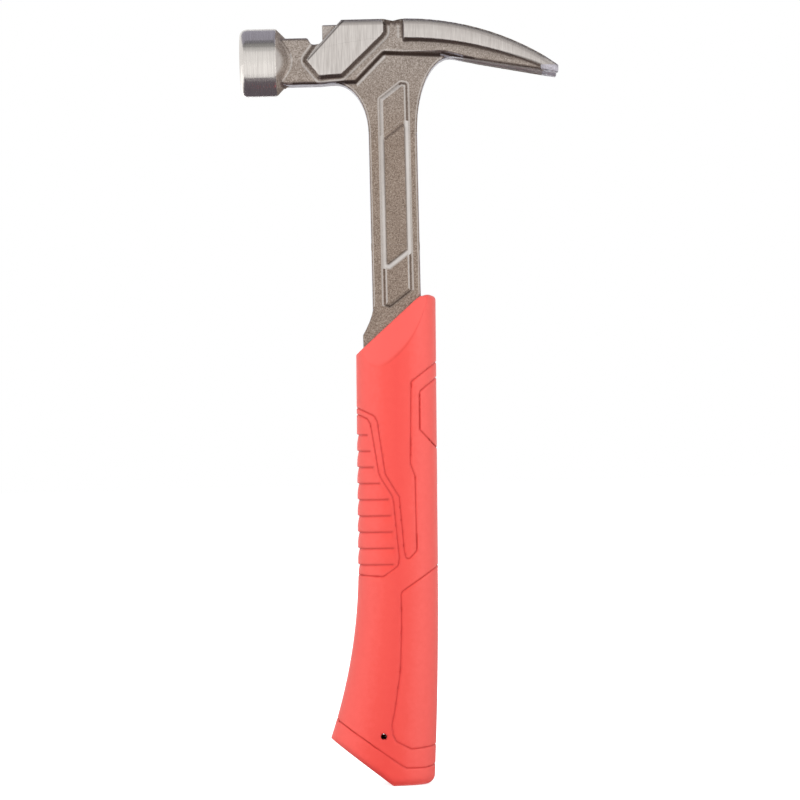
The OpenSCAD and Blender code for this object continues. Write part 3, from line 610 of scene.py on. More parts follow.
def forging_piece(materials):
    """The forging, softened above the level inside the grip and as packed below it."""
    bm = bmesh.new()
    bm.from_mesh(softened(cut_forging(True)))
    bm.from_mesh(cut_forging(False))
    whole = bpy.data.meshes.new("forging")
    bm.to_mesh(whole)
    bm.free()
    work_surface(whole)
    sort_finishes(whole)
    for material in materials:
        whole.materials.append(material)
    piece = bpy.data.objects.new("forging", whole)
    bpy.context.scene.collection.objects.link(piece)
    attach(piece, "root")
    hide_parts("hammer_forging")


CLAW_TIP_Z = OVERALL_L - CLAW_TOP_R + math.sqrt(CLAW_TOP_R ** 2 - (CLAW_REACH - CLAW_BEND) ** 2)
CLAW_ROOT_Z = OVERALL_L - CLAW_ROOT_DROP
CLAW_UNDER = math.atan2(CLAW_ROOT_Z - CLAW_TIP_Z + CLAW_TIP_T, CLAW_REACH - CLAW_ROOT)
THROAT_FRONT = -SHAFT_W / 2 - THROAT_FRONT_W
THROAT_BACK = SHAFT_W / 2 + THROAT_BACK_W
THROAT_BACK_Z = CLAW_ROOT_Z - (THROAT_BACK - CLAW_ROOT) * math.tan(CLAW_UNDER)
THROAT_PEAK = OVERALL_L - THROAT_PEAK_DROP
THROAT_PEAK_SHARE, THROAT_BEND_SHARE, THROAT_END_SHARE, THROAT_FOOT = 0.115, 0.85, 1.27, 240.0
THROAT_PEAK_X = THROAT_PEAK_SHARE * THROAT_FRONT
THROAT_CHIN = NECK_FOOT + NECK_TRIM - THROAT_SLOPE
THROAT_CHIN_X = THROAT_PEAK_X - THROAT_PEAK + THROAT_CHIN
THROAT_END = THROAT_END_SHARE * THROAT_BACK
BELL_END = -FACE_REACH + BELL_L
THROAT = np.array([
    (BELL_END, THROAT_FOOT), (THROAT_END, THROAT_FOOT),
    (THROAT_END, THROAT_BACK_Z - 1 - (THROAT_END - THROAT_BACK) * math.tan(2 * CLAW_UNDER)),
    (THROAT_BEND_SHARE * THROAT_BACK, THROAT_BACK_Z), (THROAT_PEAK_X, THROAT_PEAK),
    (THROAT_CHIN_X, THROAT_CHIN), (BELL_END, THROAT_CHIN)])


def fillet(x, z, w, h, count=15):
    """Points of the curve from the head's underside into the shaft."""
    turn = np.linspace(0, math.pi / 2, count)
    power = 2 / THROAT_ROUND
    return [(x - w * math.sin(a) ** power, z - h * (1 - max(math.cos(a), 0) ** power)) for a in turn]


def shaft_outline():
    """The outline of the shaft and of the throat, open at the top."""
    front = fillet(THROAT_FRONT, NECK_FOOT, -THROAT_FRONT_W, THROAT_FRONT_H)
    back = fillet(THROAT_BACK, THROAT_BACK_Z, THROAT_BACK_W, THROAT_BACK_H)
    low, high = GRIP_L - 40, OVERALL_L + 60
    return np.array([
        (THROAT_FRONT, high), *front, (-SHAFT_W / 2, low),
        (SHAFT_W / 2, low), *back[::-1], (THROAT_BACK, high)])


def recess_stretch(low, high):
    """The outline of a stretch of the shaft's recess."""
    front, back = -SHAFT_W / 2 + RECESS_FRONT, SHAFT_W / 2 - RECESS_BACK
    slant = math.tan(math.radians(RECESS_SLANT))
    rise, nip_rise = (back - front) * slant, RECESS_NIP * slant
    return np.array([
        (front, low + RECESS_NIP), (front + RECESS_NIP, low + nip_rise), (back, low + rise),
        (back, high - RECESS_NIP), (back - RECESS_NIP, high - nip_rise), (front, high - rise)])


RECESS_TOP = OVERALL_L - RECESS_DROP
RECESS_FOOT = RECESS_TOP - RECESS_L
RECESS = recess_stretch(RECESS_FOOT, RECESS_TOP)
RECESS_MIDDLE = recess_stretch(RECESS_FOOT + STEP_L, RECESS_TOP - STEP_L)


def vertex_arrays(mesh):
    count = len(mesh.vertices)
    place, normal = np.zeros(count * 3), np.zeros(count * 3)
    mesh.vertices.foreach_get("co", place)
    mesh.vertex_normals.foreach_get("vector", normal)
    return place.reshape(-1, 3) / MM, normal.reshape(-1, 3)


def roll_off(depth, reach, drop):
    """How far a soft edge falls at a depth in from it."""
    return drop * np.clip(1 - depth / reach, 0, 1) ** 2


def line_depth(a, b, x, z):
    """Distance to the right of the line from a to b."""
    dx, dz = b[0] - a[0], b[1] - a[1]
    return ((x - a[0]) * dz - (z - a[1]) * dx) / math.hypot(dx, dz)


def crease_x(z):
    """Where the bell's cone meets the side of the neck."""
    r = np.hypot(MID_Y, z - BELL_Z)
    return BELL_END + (BELL_D / 2 - r) * BELL_CONE_L / (BELL_D / 2 - CONE_END_R)


def band_gap(x, z):
    """Distance below the lower edge of the claw's ground band, which the grinding raises towards the tip."""
    ground_off = GRIND_RISE * np.clip(x - GRIND_X, 0, GRIND_L)
    return BAND_R - np.hypot(x - CLAW_BEND, z - (OVERALL_L - BAND_H - BAND_R)) + ground_off


def corner_cut(x, top_depth):
    """How far the rounded corners of the panels beside the notch lie under square ones."""
    past = np.where(x < 0, x + CHEEK_BACK + CORNER_R, BAND_START + CORNER_R - x)
    near = (past > 0) & (past < CORNER_R + 2) & (top_depth < CORNER_R)
    return np.where(near, np.maximum(np.hypot(past, CORNER_R - top_depth) - CORNER_R, 0), 0)


def held(keep, gap):
    """The gap where it is kept, and a far one of the same sign elsewhere."""
    return np.where(keep, gap, np.where(gap < 0, -FAR, FAR))


def shoulder_share(z):
    """How much of its straight reach the shaft's curved shoulder has at a height."""
    straight = SHOULDER_OUT * np.clip((SHOULDER_TOP - z) / SHOULDER_SLOPE, 0.01, 1)
    return CURVED_OUT * np.clip((SHOULDER_TOP - z) / CURVED_L, 0, 1) ** CURVED_POWER / straight


def side_view(p, n):
    """Where the forging's points lie in the side view, and their gaps to the outlines there.

    x and z are views of the points, so they follow when the points are moved. The rest stays as found.
    """
    x, y, z = p.T
    at = SimpleNamespace(x=x, z=z, half=np.abs(y), side=np.abs(n[:, 1]) > SIDE_FACING, up=n[:, 2])
    at.cheek = signed_distance(rounded(CHEEK, CHEEK_ROUND), x, z)
    at.throat = -signed_distance(rounded(THROAT, THROAT_EDGE_R), x, z)
    at.recess = signed_distance(rounded(RECESS, RECESS_ROUND), x, z)
    at.recess_x, recess_z = nearest_on(RECESS, x, z)[1:]
    at.low_end = (np.abs(x - at.recess_x) < np.abs(z - recess_z)) & (z < RECESS_FOOT + RECESS_END_H)
    at.middle = signed_distance(RECESS_MIDDLE, x, z)
    at.edge = -signed_distance(shaft_outline(), x, z)
    at.band = band_gap(x, z)
    arched = CLAW_TOP_R - np.hypot(x - CLAW_BEND, z - OVERALL_L + CLAW_TOP_R)
    at.top = np.where(x > CLAW_BEND, arched, OVERALL_L - z)
    at.brow = np.maximum(line_depth(CHEEK[7], CHEEK[6], x, z), 0)
    at.high = at.side & (at.half > MID_Y - SIDE_MARGIN) & (z > NECK_FOOT)
    at.on_side = at.high & (at.half < panel_plane(x) - PANEL_MARGIN)
    at.on_panel = at.high & ~at.on_side & (x > CHEEK[0, 0])
    at.on_brow = at.on_panel & (at.cheek < BROW_MARGIN) & (x < -CHEEK_BACK)
    at.in_slot = (x > -CHEEK_BACK) & (x < BAND_START)
    return at


def press_surface(p, at):
    """Works grooves, rolled edges and shallow curves into the points."""
    x, y, z = p.T
    cheek_groove = CHEEK_GROOVE * bump_at(at.cheek, PANEL_SLOPE + CHEEK_GROOVE_OUT, GROOVE_HALF_W)
    band_groove = BAND_GROOVE * bump_at(at.band, PANEL_SLOPE + BAND_GROOVE_OUT, GROOVE_HALF_W)
    on_shaft = at.side & (at.half < SHAFT_Y + 0.3) & (z > RECESS_FOOT - 5) & (z < RECESS_TOP + 5)
    sink = np.where(at.on_side & (x < BAND_START), cheek_groove, 0)
    sink += np.where(at.on_side & (x > BAND_START), band_groove, 0)
    sink += np.where(at.on_panel, roll_off(at.top, TOP_ROLL, TOP_ROLL_DROP), 0)
    sink += np.where(at.on_brow, roll_off(at.brow, BROW_ROLL, BROW_ROLL_DROP), 0)
    sink -= np.where(on_shaft, RECESS_LIP * bump_at(at.recess, RECESS_LIP_OUT, RECESS_LIP_HALF_W), 0)
    p[:, 1] -= np.sign(y) * sink
    out = np.minimum(x + SHAFT_W / 2, 0) * (z < GRIP_L) * (z > TANG_CUT + 1)
    p[:, 0] -= out * (1 - shoulder_share(z))
    p[:, 2] -= np.where(at.high & (at.half > MID_Y + 0.4), corner_cut(x, at.top), 0)
    dip = CROWN_DIP * bump_at(x, (BAND_START - CHEEK_BACK) / 2, CROWN_DIP_HALF_W)
    dip *= np.clip((z - OVERALL_L + CROWN_DIP_H) / CROWN_DIP_H, 0, 1)
    belly = BELLY * np.clip((x - BELL_END - BELLY_IN) / BELLY_IN, 0, 1)
    belly *= np.clip((BELLY_END - x) / BELLY_FADE, 0, 1)
    belly *= np.clip((NECK_FOOT + BELLY_H - z) / BELLY_H, 0, 1) * (z > NECK_FOOT - 1)
    p[:, 2] -= dip + belly


def line_gaps(at):
    """The gap that each line of painted shade and highlight on the steel follows, for every point."""
    x, z, half, high = at.x, at.z, at.half, at.high
    zero = np.zeros_like(x)
    ragged = sum(height * np.sin(waves * x + start) for height, waves, start in RAGGED_WAVES)
    at_crown = at.top < CROWN_T
    at_band_end = high & (x > 0) & (x < BAND_START) & (at.band < BAND_MARGIN)
    at_band_end &= (x > BAND_START - 1.5) | ~at_crown
    low = at.side & (half < SHAFT_Y + SHAFT_MARGIN) & (z < RECESS_TOP + RECESS_MARGIN) & (z > GRIP_L - 30)
    upper = z > (RECESS_FOOT + RECESS_TOP) / 2
    in_recess = low & (at.recess < -RECESS_IN)
    on_neck = at.side & (half > MID_Y - NECK_IN) & (np.abs(z - BELL_Z) < NECK_LINE_H)
    on_throat = at.side & (z > RECESS_TOP - THROAT_LINE_DROP) & (half > SHAFT_Y - SHAFT_MARGIN)
    on_throat &= x > BELL_END + BELL_CONE_L
    past_chin = on_throat & (x > THROAT_CHIN_X)
    claw_under = z - CLAW_ROOT_Z + (x - CLAW_ROOT) * math.tan(CLAW_UNDER)
    inner = (half < TINE_IN_Y) & (x > CLAW_ROOT + 6) & (z < CLAW_ROOT_Z + 3) & (at.up < TINE_FACING)
    below_head = at.side & (z < np.where(x < 0, NECK_FOOT, THROAT_BACK_Z)) & (z > GRIP_L - 5)
    on_stop = (x > STOP_FRONT) & (x < STOP_BACK) & (z > BELL_Z + STOP_RISE) & (at.cheek > 1)
    return {
        "cheek": held(high & (x < BAND_START) & (x > CHEEK[1, 0]), at.cheek),
        "cheek_front": held(high & (x < CHEEK[1, 0]), at.cheek),
        "strip": held(high & (x < BAND_START) & ~(at.in_slot & at_crown), at.cheek),
        "band": held(high & (x > BAND_START - BAND_MARGIN), at.band),
        "band_end": held(at_band_end, BAND_START - x),
        "throat": held(on_throat & (x < CLAW_ROOT), at.throat),
        "crest": held(past_chin & (x < CLAW_ROOT - 2), at.throat),
        "foot": held(past_chin & (x < THROAT_PEAK_X + 1), at.throat),
        "tail": held(on_throat & (x > CLAW_ROOT) & (x < CLAW_ROOT + TAIL_L), at.throat),
        "under": held(at.side & (x > CLAW_ROOT + 4), claw_under),
        "inner": held(inner, zero),
        "recess": held(low, at.recess),
        "rim": held(low & ~at.low_end, at.recess),
        "right_wall": held(low & (x > 0), at.recess),
        "upper_wall": held(low & upper & (at.recess_x < RECESS[4, 0] - 1), at.recess),
        "middle": at.middle,
        "upper_step": held(in_recess & upper, at.middle),
        "lower_step": held(in_recess & ~upper, at.middle),
        "edge": held(below_head, at.edge),
        "top": held(at.on_panel, at.top),
        "band_top": held(at.on_panel & (x > BAND_START), at.top),
        "brow": held(at.on_brow, at.brow),
        "slot": held(high & at.in_slot, at.top + ragged),
        "stop": held(on_stop, zero),
        "crease": held(on_neck & (z < BELL_Z + 3), x - crease_x(z)),
        "upper_crease": held(on_neck & (z > BELL_Z + 1), x - crease_x(z)),
        "cone": x - BELL_END + CONE_BOW * (z - BELL_Z + CONE_BOW_DROP) ** 2,
    }


def work_surface(mesh):
    """Presses the details into the mesh, and leaves on its points the gaps that the painted shade and
    highlight lines follow.
    """
    p, n = vertex_arrays(mesh)
    at = side_view(p, n)
    press_surface(p, at)
    mesh.vertices.foreach_set("co", (p * MM).ravel())
    values = {name + "_gap": gap for name, gap in line_gaps(at).items()}
    values["head_share"] = np.clip((at.z - RECESS_TOP + HEAD_FADE_DROP) / HEAD_FADE_H, 0, 1)
    for key, value in values.items():
        layer = mesh.attributes.new(key, "FLOAT", "POINT")
        layer.data.foreach_set("value", value.astype(np.float32))
    mesh.update()


def panel_plane(x):
    """Half thickness of the ground panels and band."""
    slope = (CLAW_TIP_W / 2 - PANEL_Y) / (BAND_END - BAND_START)
    bevel = np.clip(x - BAND_END, 0, TIP_BEVEL_L) * TIP_BEVEL_W / TIP_BEVEL_L
    return PANEL_Y + np.clip(x - BAND_START, 0, BAND_END - BAND_START) * slope - bevel


FORGED, GROUND, TURNED, TRIMMED = range(4)


def sort_finishes(mesh):
    """Sorts the faces into forged, ground, turned and trimmed ones, with small margins for the soft edges."""
    count = len(mesh.polygons)
    centre, normal = np.zeros(count * 3), np.zeros(count * 3)
    mesh.polygons.foreach_get("center", centre)
    mesh.polygons.foreach_get("normal", normal)
    x, y, z = (centre.reshape(-1, 3) / MM).T
    ny, nz = np.abs(normal.reshape(-1, 3)[:, 1]), normal.reshape(-1, 3)[:, 2]
    cheek = signed_distance(CHEEK, x, z)
    band = band_gap(x, z)
    facing = ny > np.where(nz > 0.3, 0.4, 0.72)
    ground = (np.abs(y) > panel_plane(x) - 1.4) & facing & (z > OVERALL_L - CHEEK_H - 1)
    ground &= np.where(x < BAND_START, cheek < 0.25, band < 0.8)
    turned = x < BELL_END + 0.2
    under = (x > CLAW_ROOT + 10) & (nz < 0)
    facet = (x > BAND_END - 1.5) & (z < CLAW_TIP_Z)
    ground &= ~facet
    cone_r = BELL_D / 2 - (x - BELL_END) / BELL_CONE_L * (BELL_D / 2 - CONE_END_R)
    cone = (x < BELL_END + BELL_CONE_L) & (np.hypot(y, z - BELL_Z) < cone_r + 0.6)
    wall = signed_distance(THROAT, x, z)
    step = (np.abs(wall - THROAT_SLOPE / 2) < 1.6) & (x > THROAT_CHIN_X - 9)
    step &= (x < CLAW_ROOT) | (wall > 1.1)
    notch = (x > -CHEEK_BACK) & (x < BAND_START)
    forged = under | cone | ((step | notch) & (ny > 0.2))
    trimmed = ((ny < 0.5) & ~forged) | (x > BAND_END) | (facet & (np.abs(y) > panel_plane(x) - 1.8))
    index = np.select([turned, ground, trimmed], [TURNED, GROUND, TRIMMED], FORGED).astype(np.int32)
    mesh.polygons.foreach_set("material_index", index)
    mesh.polygons.foreach_set("use_smooth", np.ones(count, bool))


# Materials

def colour(r, g, b):
    """A colour written as 8-bit screen values."""
    def linear(v):
        v /= 255
        return v / 12.92 if v <= 0.04045 else ((v + 0.055) / 1.055) ** 2.4
    return (linear(r), linear(g), linear(b), 1)


def new_material(name):
    material = bpy.data.materials.new(name)
    material.use_nodes = True
    tree = material.node_tree
    return material, tree.nodes, tree.links, tree.nodes["Principled BSDF"]


def add_sockets(group, inputs, output):
    """Named number sockets of a shader group: its inputs with their first values, and its output."""
    for name, value in inputs.items():
        group.interface.new_socket(name, in_out="INPUT", socket_type="NodeSocketFloat").default_value = value
    group.interface.new_socket(output, in_out="OUTPUT", socket_type="NodeSocketFloat")


def noise_group(name, stretch):
    """A shader group: noise over the object's own coordinates, in millimetres, stretched along its axes."""
    group = bpy.data.node_groups.new(name, "ShaderNodeTree")
    add_sockets(group, {"Grain": 1.0, "Detail": 3.0}, "Height")
    nodes, links = group.nodes, group.links
    enter, leave = nodes.new("NodeGroupInput"), nodes.new("NodeGroupOutput")
    place = nodes.new("ShaderNodeTexCoord")
    scale = nodes.new("ShaderNodeMapping")
    scale.inputs["Scale"].default_value = [1000 * s for s in stretch]
    scale.inputs["Location"].default_value = (0.37, 0, 0.29)
    noise = nodes.new("ShaderNodeTexNoise")
    noise.inputs["Roughness"].default_value = 0.6
    links.new(place.outputs["Object"], scale.inputs["Vector"])
    links.new(scale.outputs["Vector"], noise.inputs["Vector"])
    links.new(enter.outputs["Grain"], noise.inputs["Scale"])
    links.new(enter.outputs["Detail"], noise.inputs["Detail"])
    links.new(noise.outputs["Fac"], leave.inputs["Height"])
    return group


def use_group(nodes, group, **values):
    node = nodes.new("ShaderNodeGroup")
    node.node_tree = group
    for key, value in values.items():
        node.inputs[key].default_value = value
    return node


def ramp(nodes, stops):
    node = nodes.new("ShaderNodeValToRGB")
    node.color_ramp.elements[0].position, node.color_ramp.elements[0].color = stops[0]
    node.color_ramp.elements[1].position, node.color_ramp.elements[1].color = stops[-1]
    for position, value in stops[1:-1]:
        node.color_ramp.elements.new(position).color = value
    return node


def bump(nodes, links, height, bsdf, strength, distance):
    node = nodes.new("ShaderNodeBump")
    node.inputs["Strength"].default_value = strength
    node.inputs["Distance"].default_value = distance * MM
    links.new(height, node.inputs["Height"])
    links.new(node.outputs["Normal"], bsdf.inputs["Normal"])


def grey(v):
    return (v, v, v, 1)


def line_group():
    """A shader group: a line, used for painted shade and painted highlight, at a gap from an outline, full
    near its middle and fading to its end.
    """
    group = bpy.data.node_groups.new("edge_line", "ShaderNodeTree")
    add_sockets(group, {"Gap": FAR, "Centre": 0.0, "Half Width": 0.5, "Strength": 1.0}, "Line")
    nodes, links = group.nodes, group.links
    enter, leave = nodes.new("NodeGroupInput"), nodes.new("NodeGroupOutput")
    off = maths(nodes, links, "SUBTRACT", enter.outputs["Gap"], enter.outputs["Centre"])
    off = maths(nodes, links, "ABSOLUTE", off)
    share = maths(nodes, links, "DIVIDE", off, enter.outputs["Half Width"])
    rest = maths(nodes, links, "SUBTRACT", LINE_END, share)
    rest.node.use_clamp = True
    links.new(maths(nodes, links, "MULTIPLY", rest, enter.outputs["Strength"]), leave.inputs["Line"])
    return group


def maths(nodes, links, operation, *values):
    node = nodes.new("ShaderNodeMath")
    node.operation = operation
    for i, value in enumerate(values):
        if isinstance(value, (int, float)):
            node.inputs[i].default_value = value
        else:
            links.new(value, node.inputs[i])
    return node.outputs[0]


def field(nodes, name):
    node = nodes.new("ShaderNodeAttribute")
    node.attribute_name = name
    return node.outputs["Fac"]


def lines(nodes, links, group, rows, shares=None):
    """The strongest of several lines. A strength is a number, or the name of a share over the surface."""
    total = None
    for gap, centre, half, strength in rows:
        line = use_group(nodes, group, **{"Centre": centre, "Half Width": half})
        links.new(field(nodes, gap + "_gap"), line.inputs["Gap"])
        if isinstance(strength, str):
            links.new(shares[strength], line.inputs["Strength"])
        else:
            line.inputs["Strength"].default_value = strength
        found = line.outputs["Line"]
        total = found if total is None else maths(nodes, links, "MAXIMUM", total, found)
    return total


def mix_colour(nodes, links, factor, a, b):
    node = nodes.new("ShaderNodeMix")
    node.data_type = "RGBA"
    links.new(factor, node.inputs["Factor"])
    for value, socket in ((a, node.inputs[6]), (b, node.inputs[7])):
        if isinstance(value, tuple):
            socket.default_value = value
        else:
            links.new(value, socket)
    return node.outputs[2]


def recess_shares(nodes, links):
    """Shares that tell the middle stretch of the shaft's recess from its two ends."""
    in_middle = maths(nodes, links, "LESS_THAN", field(nodes, "middle_gap"), 0.6)
    at_end = maths(nodes, links, "SUBTRACT", 1.0, in_middle)
    return {
        "in_middle": in_middle,
        "faint_middle": maths(nodes, links, "MULTIPLY", in_middle, 0.75),
        "faint_end": maths(nodes, links, "MULTIPLY", at_end, 0.7),
    }


def forged_material(speckle, edge_line):
    """Blasted steel, browner down the shaft, with painted shade at the feet of its forms and painted
    highlights, with some edge wear, along them.
    """
    material, nodes, links, bsdf = new_material("forged_steel")
    grain = use_group(nodes, speckle, Grain=1.95, Detail=3.0)
    cloud = use_group(nodes, speckle, Grain=0.09, Detail=2.0)
    shaft_tone = ramp(nodes, [
        (0.3, colour(116, 99, 86)), (0.5, colour(155, 138, 125)), (0.7, colour(192, 177, 164))])
    head_tone = ramp(nodes, [
        (0.3, colour(128, 116, 106)), (0.5, colour(168, 156, 147)), (0.7, colour(206, 195, 187))])
    for tone in (shaft_tone, head_tone):
        links.new(grain.outputs["Height"], tone.inputs["Fac"])
    on_head = field(nodes, "head_share")
    tone = mix_colour(nodes, links, on_head, shaft_tone.outputs["Color"], head_tone.outputs["Color"])
    shares = recess_shares(nodes, links)
    dark = lines(nodes, links, edge_line, FORGED_PAINTED_SHADES, shares)
    light = lines(nodes, links, edge_line, FORGED_PAINTED_HIGHLIGHTS, shares)
    # Painted shade in dark brown, then painted highlight in pale grey, with some edge wear, along the forms.
    shade = mix_colour(nodes, links, dark, tone, colour(82, 68, 62))
    links.new(mix_colour(nodes, links, light, shade, colour(222, 217, 213)), bsdf.inputs["Base Color"])
    rough = ramp(nodes, [(0.3, grey(0.58)), (0.7, grey(0.44))])
    links.new(cloud.outputs["Height"], rough.inputs["Fac"])
    links.new(rough.outputs["Color"], bsdf.inputs["Roughness"])
    bsdf.inputs["Metallic"].default_value = 1.0
    bsdf.inputs["Specular Tint"].default_value = (0.45, 0.42, 0.4, 1)
    bump(nodes, links, grain.outputs["Height"], bsdf, 0.3, 0.1)
    return material


def ground_material(brushed, edge_line):
    """Ground steel with upright grinding marks, duller and darker along its edges in painted shade."""
    material, nodes, links, bsdf = new_material("ground_steel")
    grain = use_group(nodes, brushed, Grain=1.0, Detail=4.0)
    tone = ramp(nodes, [(0.3, colour(190, 183, 178)), (0.7, colour(221, 215, 210))])
    links.new(grain.outputs["Height"], tone.inputs["Fac"])
    shade = lines(nodes, links, edge_line, GROUND_PAINTED_SOFT_SHADES)
    dark = lines(nodes, links, edge_line, GROUND_PAINTED_DARK_SHADES)
    # Painted shade: a soft grey band inside the top edges, then a dark line at the top edges, brow and band.
    soft = mix_colour(nodes, links, shade, tone.outputs["Color"], colour(150, 142, 138))
    links.new(mix_colour(nodes, links, dark, soft, colour(82, 74, 70)), bsdf.inputs["Base Color"])
    rough = ramp(nodes, [(0.3, grey(0.42)), (0.7, grey(0.32))])
    links.new(grain.outputs["Height"], rough.inputs["Fac"])
    links.new(rough.outputs["Color"], bsdf.inputs["Roughness"])
    bsdf.inputs["Metallic"].default_value = 1.0
    bump(nodes, links, grain.outputs["Height"], bsdf, 0.12, 0.04)
    return material


def worked_material(name, group, low, high, rough_low, rough_high, metallic=1.0):
    """Bare steel with the marks of the tool that worked it."""
    material, nodes, links, bsdf = new_material(name)
    grain = use_group(nodes, group, Grain=1.0, Detail=3.0)
    tone = ramp(nodes, [(0.3, low), (0.7, high)])
    rough = ramp(nodes, [(0.3, grey(rough_high)), (0.7, grey(rough_low))])
    links.new(grain.outputs["Height"], tone.inputs["Fac"])
    links.new(grain.outputs["Height"], rough.inputs["Fac"])
    links.new(tone.outputs["Color"], bsdf.inputs["Base Color"])
    links.new(rough.outputs["Color"], bsdf.inputs["Roughness"])
    bsdf.inputs["Metallic"].default_value = metallic
    bump(nodes, links, grain.outputs["Height"], bsdf, 0.12, 0.04)
    return material


def moulded_material(speckle):
    """The red of the mouldings: deepest down the middle of the side, with a painted sheen towards the edges,
    painted light on the bevel, and darker along the seams, partly as painted shade.
    """
    material, nodes, links, bsdf = new_material("moulded_red")
    grain = use_group(nodes, speckle, Grain=2.6, Detail=2.0)
    cloud = use_group(nodes, speckle, Grain=0.4, Detail=3.0)
    # Painted sheen: the red grows paler towards the front and back edges of the side.
    tone = ramp(nodes, [
        (0.0, colour(236, 73, 65)), (0.3, colour(239, 79, 70)),
        (0.6, colour(245, 93, 85)), (1.0, colour(252, 104, 96))])
    drift = maths(nodes, links, "SUBTRACT", cloud.outputs["Height"], 0.5)
    drift = maths(nodes, links, "MULTIPLY", drift, 0.35)
    links.new(maths(nodes, links, "ADD", field(nodes, "painted_edge_sheen"), drift), tone.inputs["Fac"])
    # Painted light: the bevel is paler.
    pale = maths(nodes, links, "MULTIPLY", field(nodes, "bevel"), 0.8)
    skin_tone = mix_colour(nodes, links, pale, tone.outputs["Color"], colour(239, 97, 90))
    # Darker along the seams, with painted shade in the ribs' grooves, along the bevel's crease and round the
    # lip.
    final = mix_colour(nodes, links, field(nodes, "seam"), skin_tone, colour(208, 58, 54))
    links.new(final, bsdf.inputs["Base Color"])
    rough = ramp(nodes, [(0.3, grey(0.58)), (0.7, grey(0.44))])
    links.new(grain.outputs["Height"], rough.inputs["Fac"])
    links.new(rough.outputs["Color"], bsdf.inputs["Roughness"])
    bsdf.inputs["Specular IOR Level"].default_value = 0.45
    bump(nodes, links, grain.outputs["Height"], bsdf, 0.2, 0.08)
    return material


def bore_material(speckle):
    """The dull wall of the lanyard hole, its red darkened as painted shade."""
    material, nodes, links, bsdf = new_material("painted_shade_bore_wall")
    grain = use_group(nodes, speckle, Grain=2.0, Detail=2.0)
    tone = ramp(nodes, [(0.3, colour(120, 14, 14)), (0.7, colour(140, 22, 20))])
    links.new(grain.outputs["Height"], tone.inputs["Fac"])
    links.new(tone.outputs["Color"], bsdf.inputs["Base Color"])
    bsdf.inputs["Roughness"].default_value = 0.9
    bsdf.inputs["Specular IOR Level"].default_value = 0.0
    return material


def core_material(speckle):
    """The rigid plastic inside the grip."""
    material, nodes, links, bsdf = new_material("core_plastic")
    grain = use_group(nodes, speckle, Grain=1.2, Detail=2.0)
    tone = ramp(nodes, [(0.3, colour(138, 26, 24)), (0.7, colour(158, 36, 32))])
    rough = ramp(nodes, [(0.3, grey(0.6)), (0.7, grey(0.46))])
    links.new(grain.outputs["Height"], tone.inputs["Fac"])
    links.new(grain.outputs["Height"], rough.inputs["Fac"])
    links.new(tone.outputs["Color"], bsdf.inputs["Base Color"])
    links.new(rough.outputs["Color"], bsdf.inputs["Roughness"])
    bump(nodes, links, grain.outputs["Height"], bsdf, 0.2, 0.06)
    return material


def finish_node(name, material):
    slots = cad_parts[name].data.materials
    slots.clear()
    slots.append(material)


# Stage, light and camera

def camera_sees(nodes, links):
    """1 for rays that show the background: straight, mirrored or let through."""
    ray = nodes.new("ShaderNodeLightPath").outputs
    bent = maths(nodes, links, "MAXIMUM", ray["Is Glossy Ray"], ray["Is Transmission Ray"])
    return maths(nodes, links, "MAXIMUM", ray["Is Camera Ray"], bent)


def set_world():
    world = bpy.data.worlds.new("studio")
    bpy.context.scene.world = world
    world.use_nodes = True
    nodes, links = world.node_tree.nodes, world.node_tree.links
    light = nodes["Background"]
    light.inputs["Color"].default_value = (1, 1, 1, 1)
    light.inputs["Strength"].default_value = WORLD_LIGHT
    white = nodes.new("ShaderNodeBackground")
    white.inputs["Strength"].default_value = 1.0
    white.inputs["Color"].default_value = (1, 1, 1, 1)
    mix = nodes.new("ShaderNodeMixShader")
    links.new(camera_sees(nodes, links), mix.inputs["Fac"])
    links.new(light.outputs["Background"], mix.inputs[1])
    links.new(white.outputs["Background"], mix.inputs[2])
    links.new(mix.outputs["Shader"], nodes["World Output"].inputs["Surface"])


def stage_plane(name, size, place, material):
    w, d = size
    corners = np.array([(-w / 2, -d / 2, 0), (w / 2, -d / 2, 0), (w / 2, d / 2, 0), (-w / 2, d / 2, 0)])
    plane = new_piece(name, corners + np.array(place), [[0, 1, 2, 3]], [material])
    return plane


def set_floor():
    material, nodes, links, bsdf = new_material("studio_floor")
    bsdf.inputs["Base Color"].default_value = (0.82, 0.82, 0.82, 1)
    bsdf.inputs["Roughness"].default_value = 0.9
    bsdf.inputs["Specular IOR Level"].default_value = 0.0
    glow = nodes.new("ShaderNodeEmission")
    glow.inputs["Strength"].default_value = FLOOR_GLOW
    nothing = nodes.new("ShaderNodeEmission")
    nothing.inputs["Strength"].default_value = 0.0
    pick = nodes.new("ShaderNodeMixShader")
    add = nodes.new("ShaderNodeAddShader")
    links.new(camera_sees(nodes, links), pick.inputs["Fac"])
    links.new(nothing.outputs["Emission"], pick.inputs[1])
    links.new(glow.outputs["Emission"], pick.inputs[2])
    links.new(bsdf.outputs["BSDF"], add.inputs[0])
    links.new(pick.outputs["Shader"], add.inputs[1])
    links.new(add.outputs["Shader"], nodes["Material Output"].inputs["Surface"])
    stage_plane("floor", (FLOOR_W, FLOOR_W), (0, 0, -0.05), material)


def set_card(name, size, place, tone):
    """A studio card that shows only in reflections."""
    material, nodes, links, _ = new_material(name)
    glow = nodes.new("ShaderNodeEmission")
    glow.inputs["Color"].default_value = tone
    links.new(glow.outputs["Emission"], nodes["Material Output"].inputs["Surface"])
    card = stage_plane(name, size, place, material)
    card.visible_camera = False
    card.visible_diffuse = False
    card.visible_shadow = False
    card.visible_transmission = False


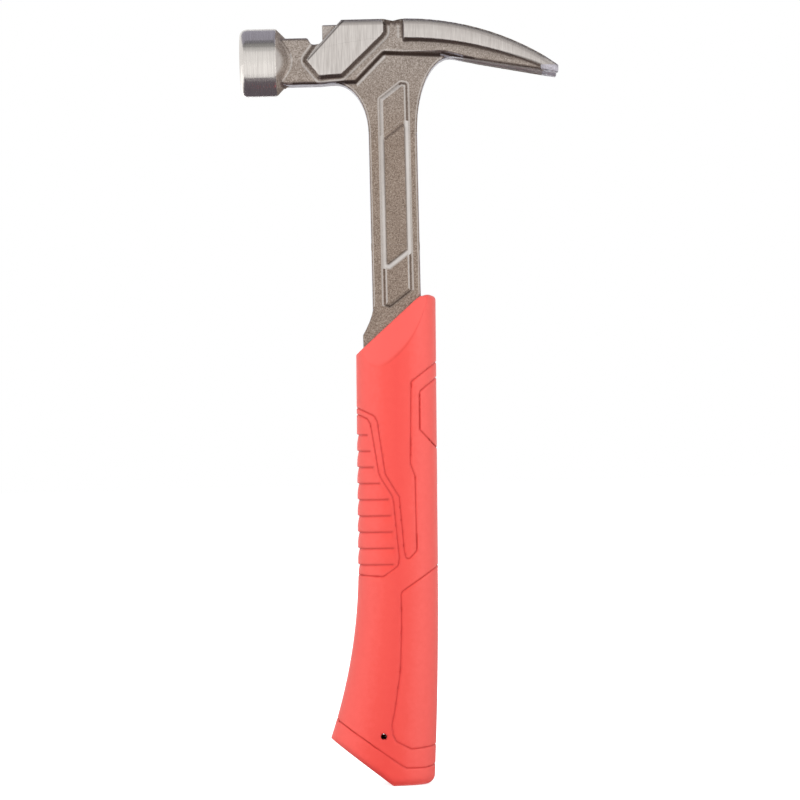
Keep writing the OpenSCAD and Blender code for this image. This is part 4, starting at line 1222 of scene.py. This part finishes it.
def add_lamp(name, place, size, power):
    """A soft round lamp that shows in no reflection."""
    data = bpy.data.lights.new(name, "AREA")
    data.shape = "DISK"
    data.size = size * MM
    data.energy = power
    lamp = bpy.data.objects.new(name, data)
    lamp.location = Vector(place) * MM
    lamp.rotation_euler = (Vector(LAMP_AIM) - Vector(place)).to_track_quat("-Z", "Y").to_euler()
    lamp.visible_glossy = False
    bpy.context.scene.collection.objects.link(lamp)


def set_camera():
    data = bpy.data.cameras.new("camera")
    data.sensor_width = SENSOR_W
    data.lens = SENSOR_W * CAMERA_REACH / FRAME_W
    data.clip_end = 50
    camera = bpy.data.objects.new("camera", data)
    camera.location = Vector((CAMERA_X, -CAMERA_REACH, CAMERA_Z)) * MM
    camera.rotation_euler = (math.pi / 2, math.radians(CAMERA_ROLL), 0)
    bpy.context.scene.collection.objects.link(camera)
    bpy.context.scene.camera = camera


def set_studio():
    set_camera()
    set_world()
    set_floor()
    for name, (size, place, tone) in CARDS.items():
        set_card(name, size, place, tone)
    spans = zip(SOFT_STRIP_EDGES[1:], SOFT_STRIP_EDGES, SOFT_STRIP_TONES)
    for i, (near, far, tone) in enumerate(spans):
        place = (0, (near + far) / 2, SOFT_STRIP_Z)
        set_card("soft_strip_" + str(i), (CARD_W, far - near), place, grey(tone))
    for name, (place, size, power) in LAMPS.items():
        add_lamp(name, place, size, power)


def main():
    bpy.context.scene.view_settings.view_transform = "Standard"
    set_studio()
    speckle = noise_group("speckle", (1, 1, 1))
    brushed = noise_group("brushed", (2.6, 2.6, 0.12))
    turned = noise_group("turned", (3.2, 0.06, 0.06))
    edge_line = line_group()
    forged = forged_material(speckle, edge_line)
    ground = ground_material(brushed, edge_line)
    bell = worked_material(
        "turned_steel", turned, colour(205, 199, 194), colour(231, 226, 220), 0.2, 0.32)
    trimmed = worked_material(
        "trimmed_steel", speckle, colour(160, 155, 162), colour(188, 184, 192), 0.34, 0.48, 0.4)
    plated = worked_material(
        "plated_steel", speckle, colour(146, 148, 152), colour(176, 178, 182), 0.18, 0.3)
    grip_pieces(moulded_material(speckle), bore_material(speckle))
    forging_piece([forged, ground, bell, trimmed])
    finish_node("nail_magnet", plated)
    finish_node("grip_core", core_material(speckle))


main()
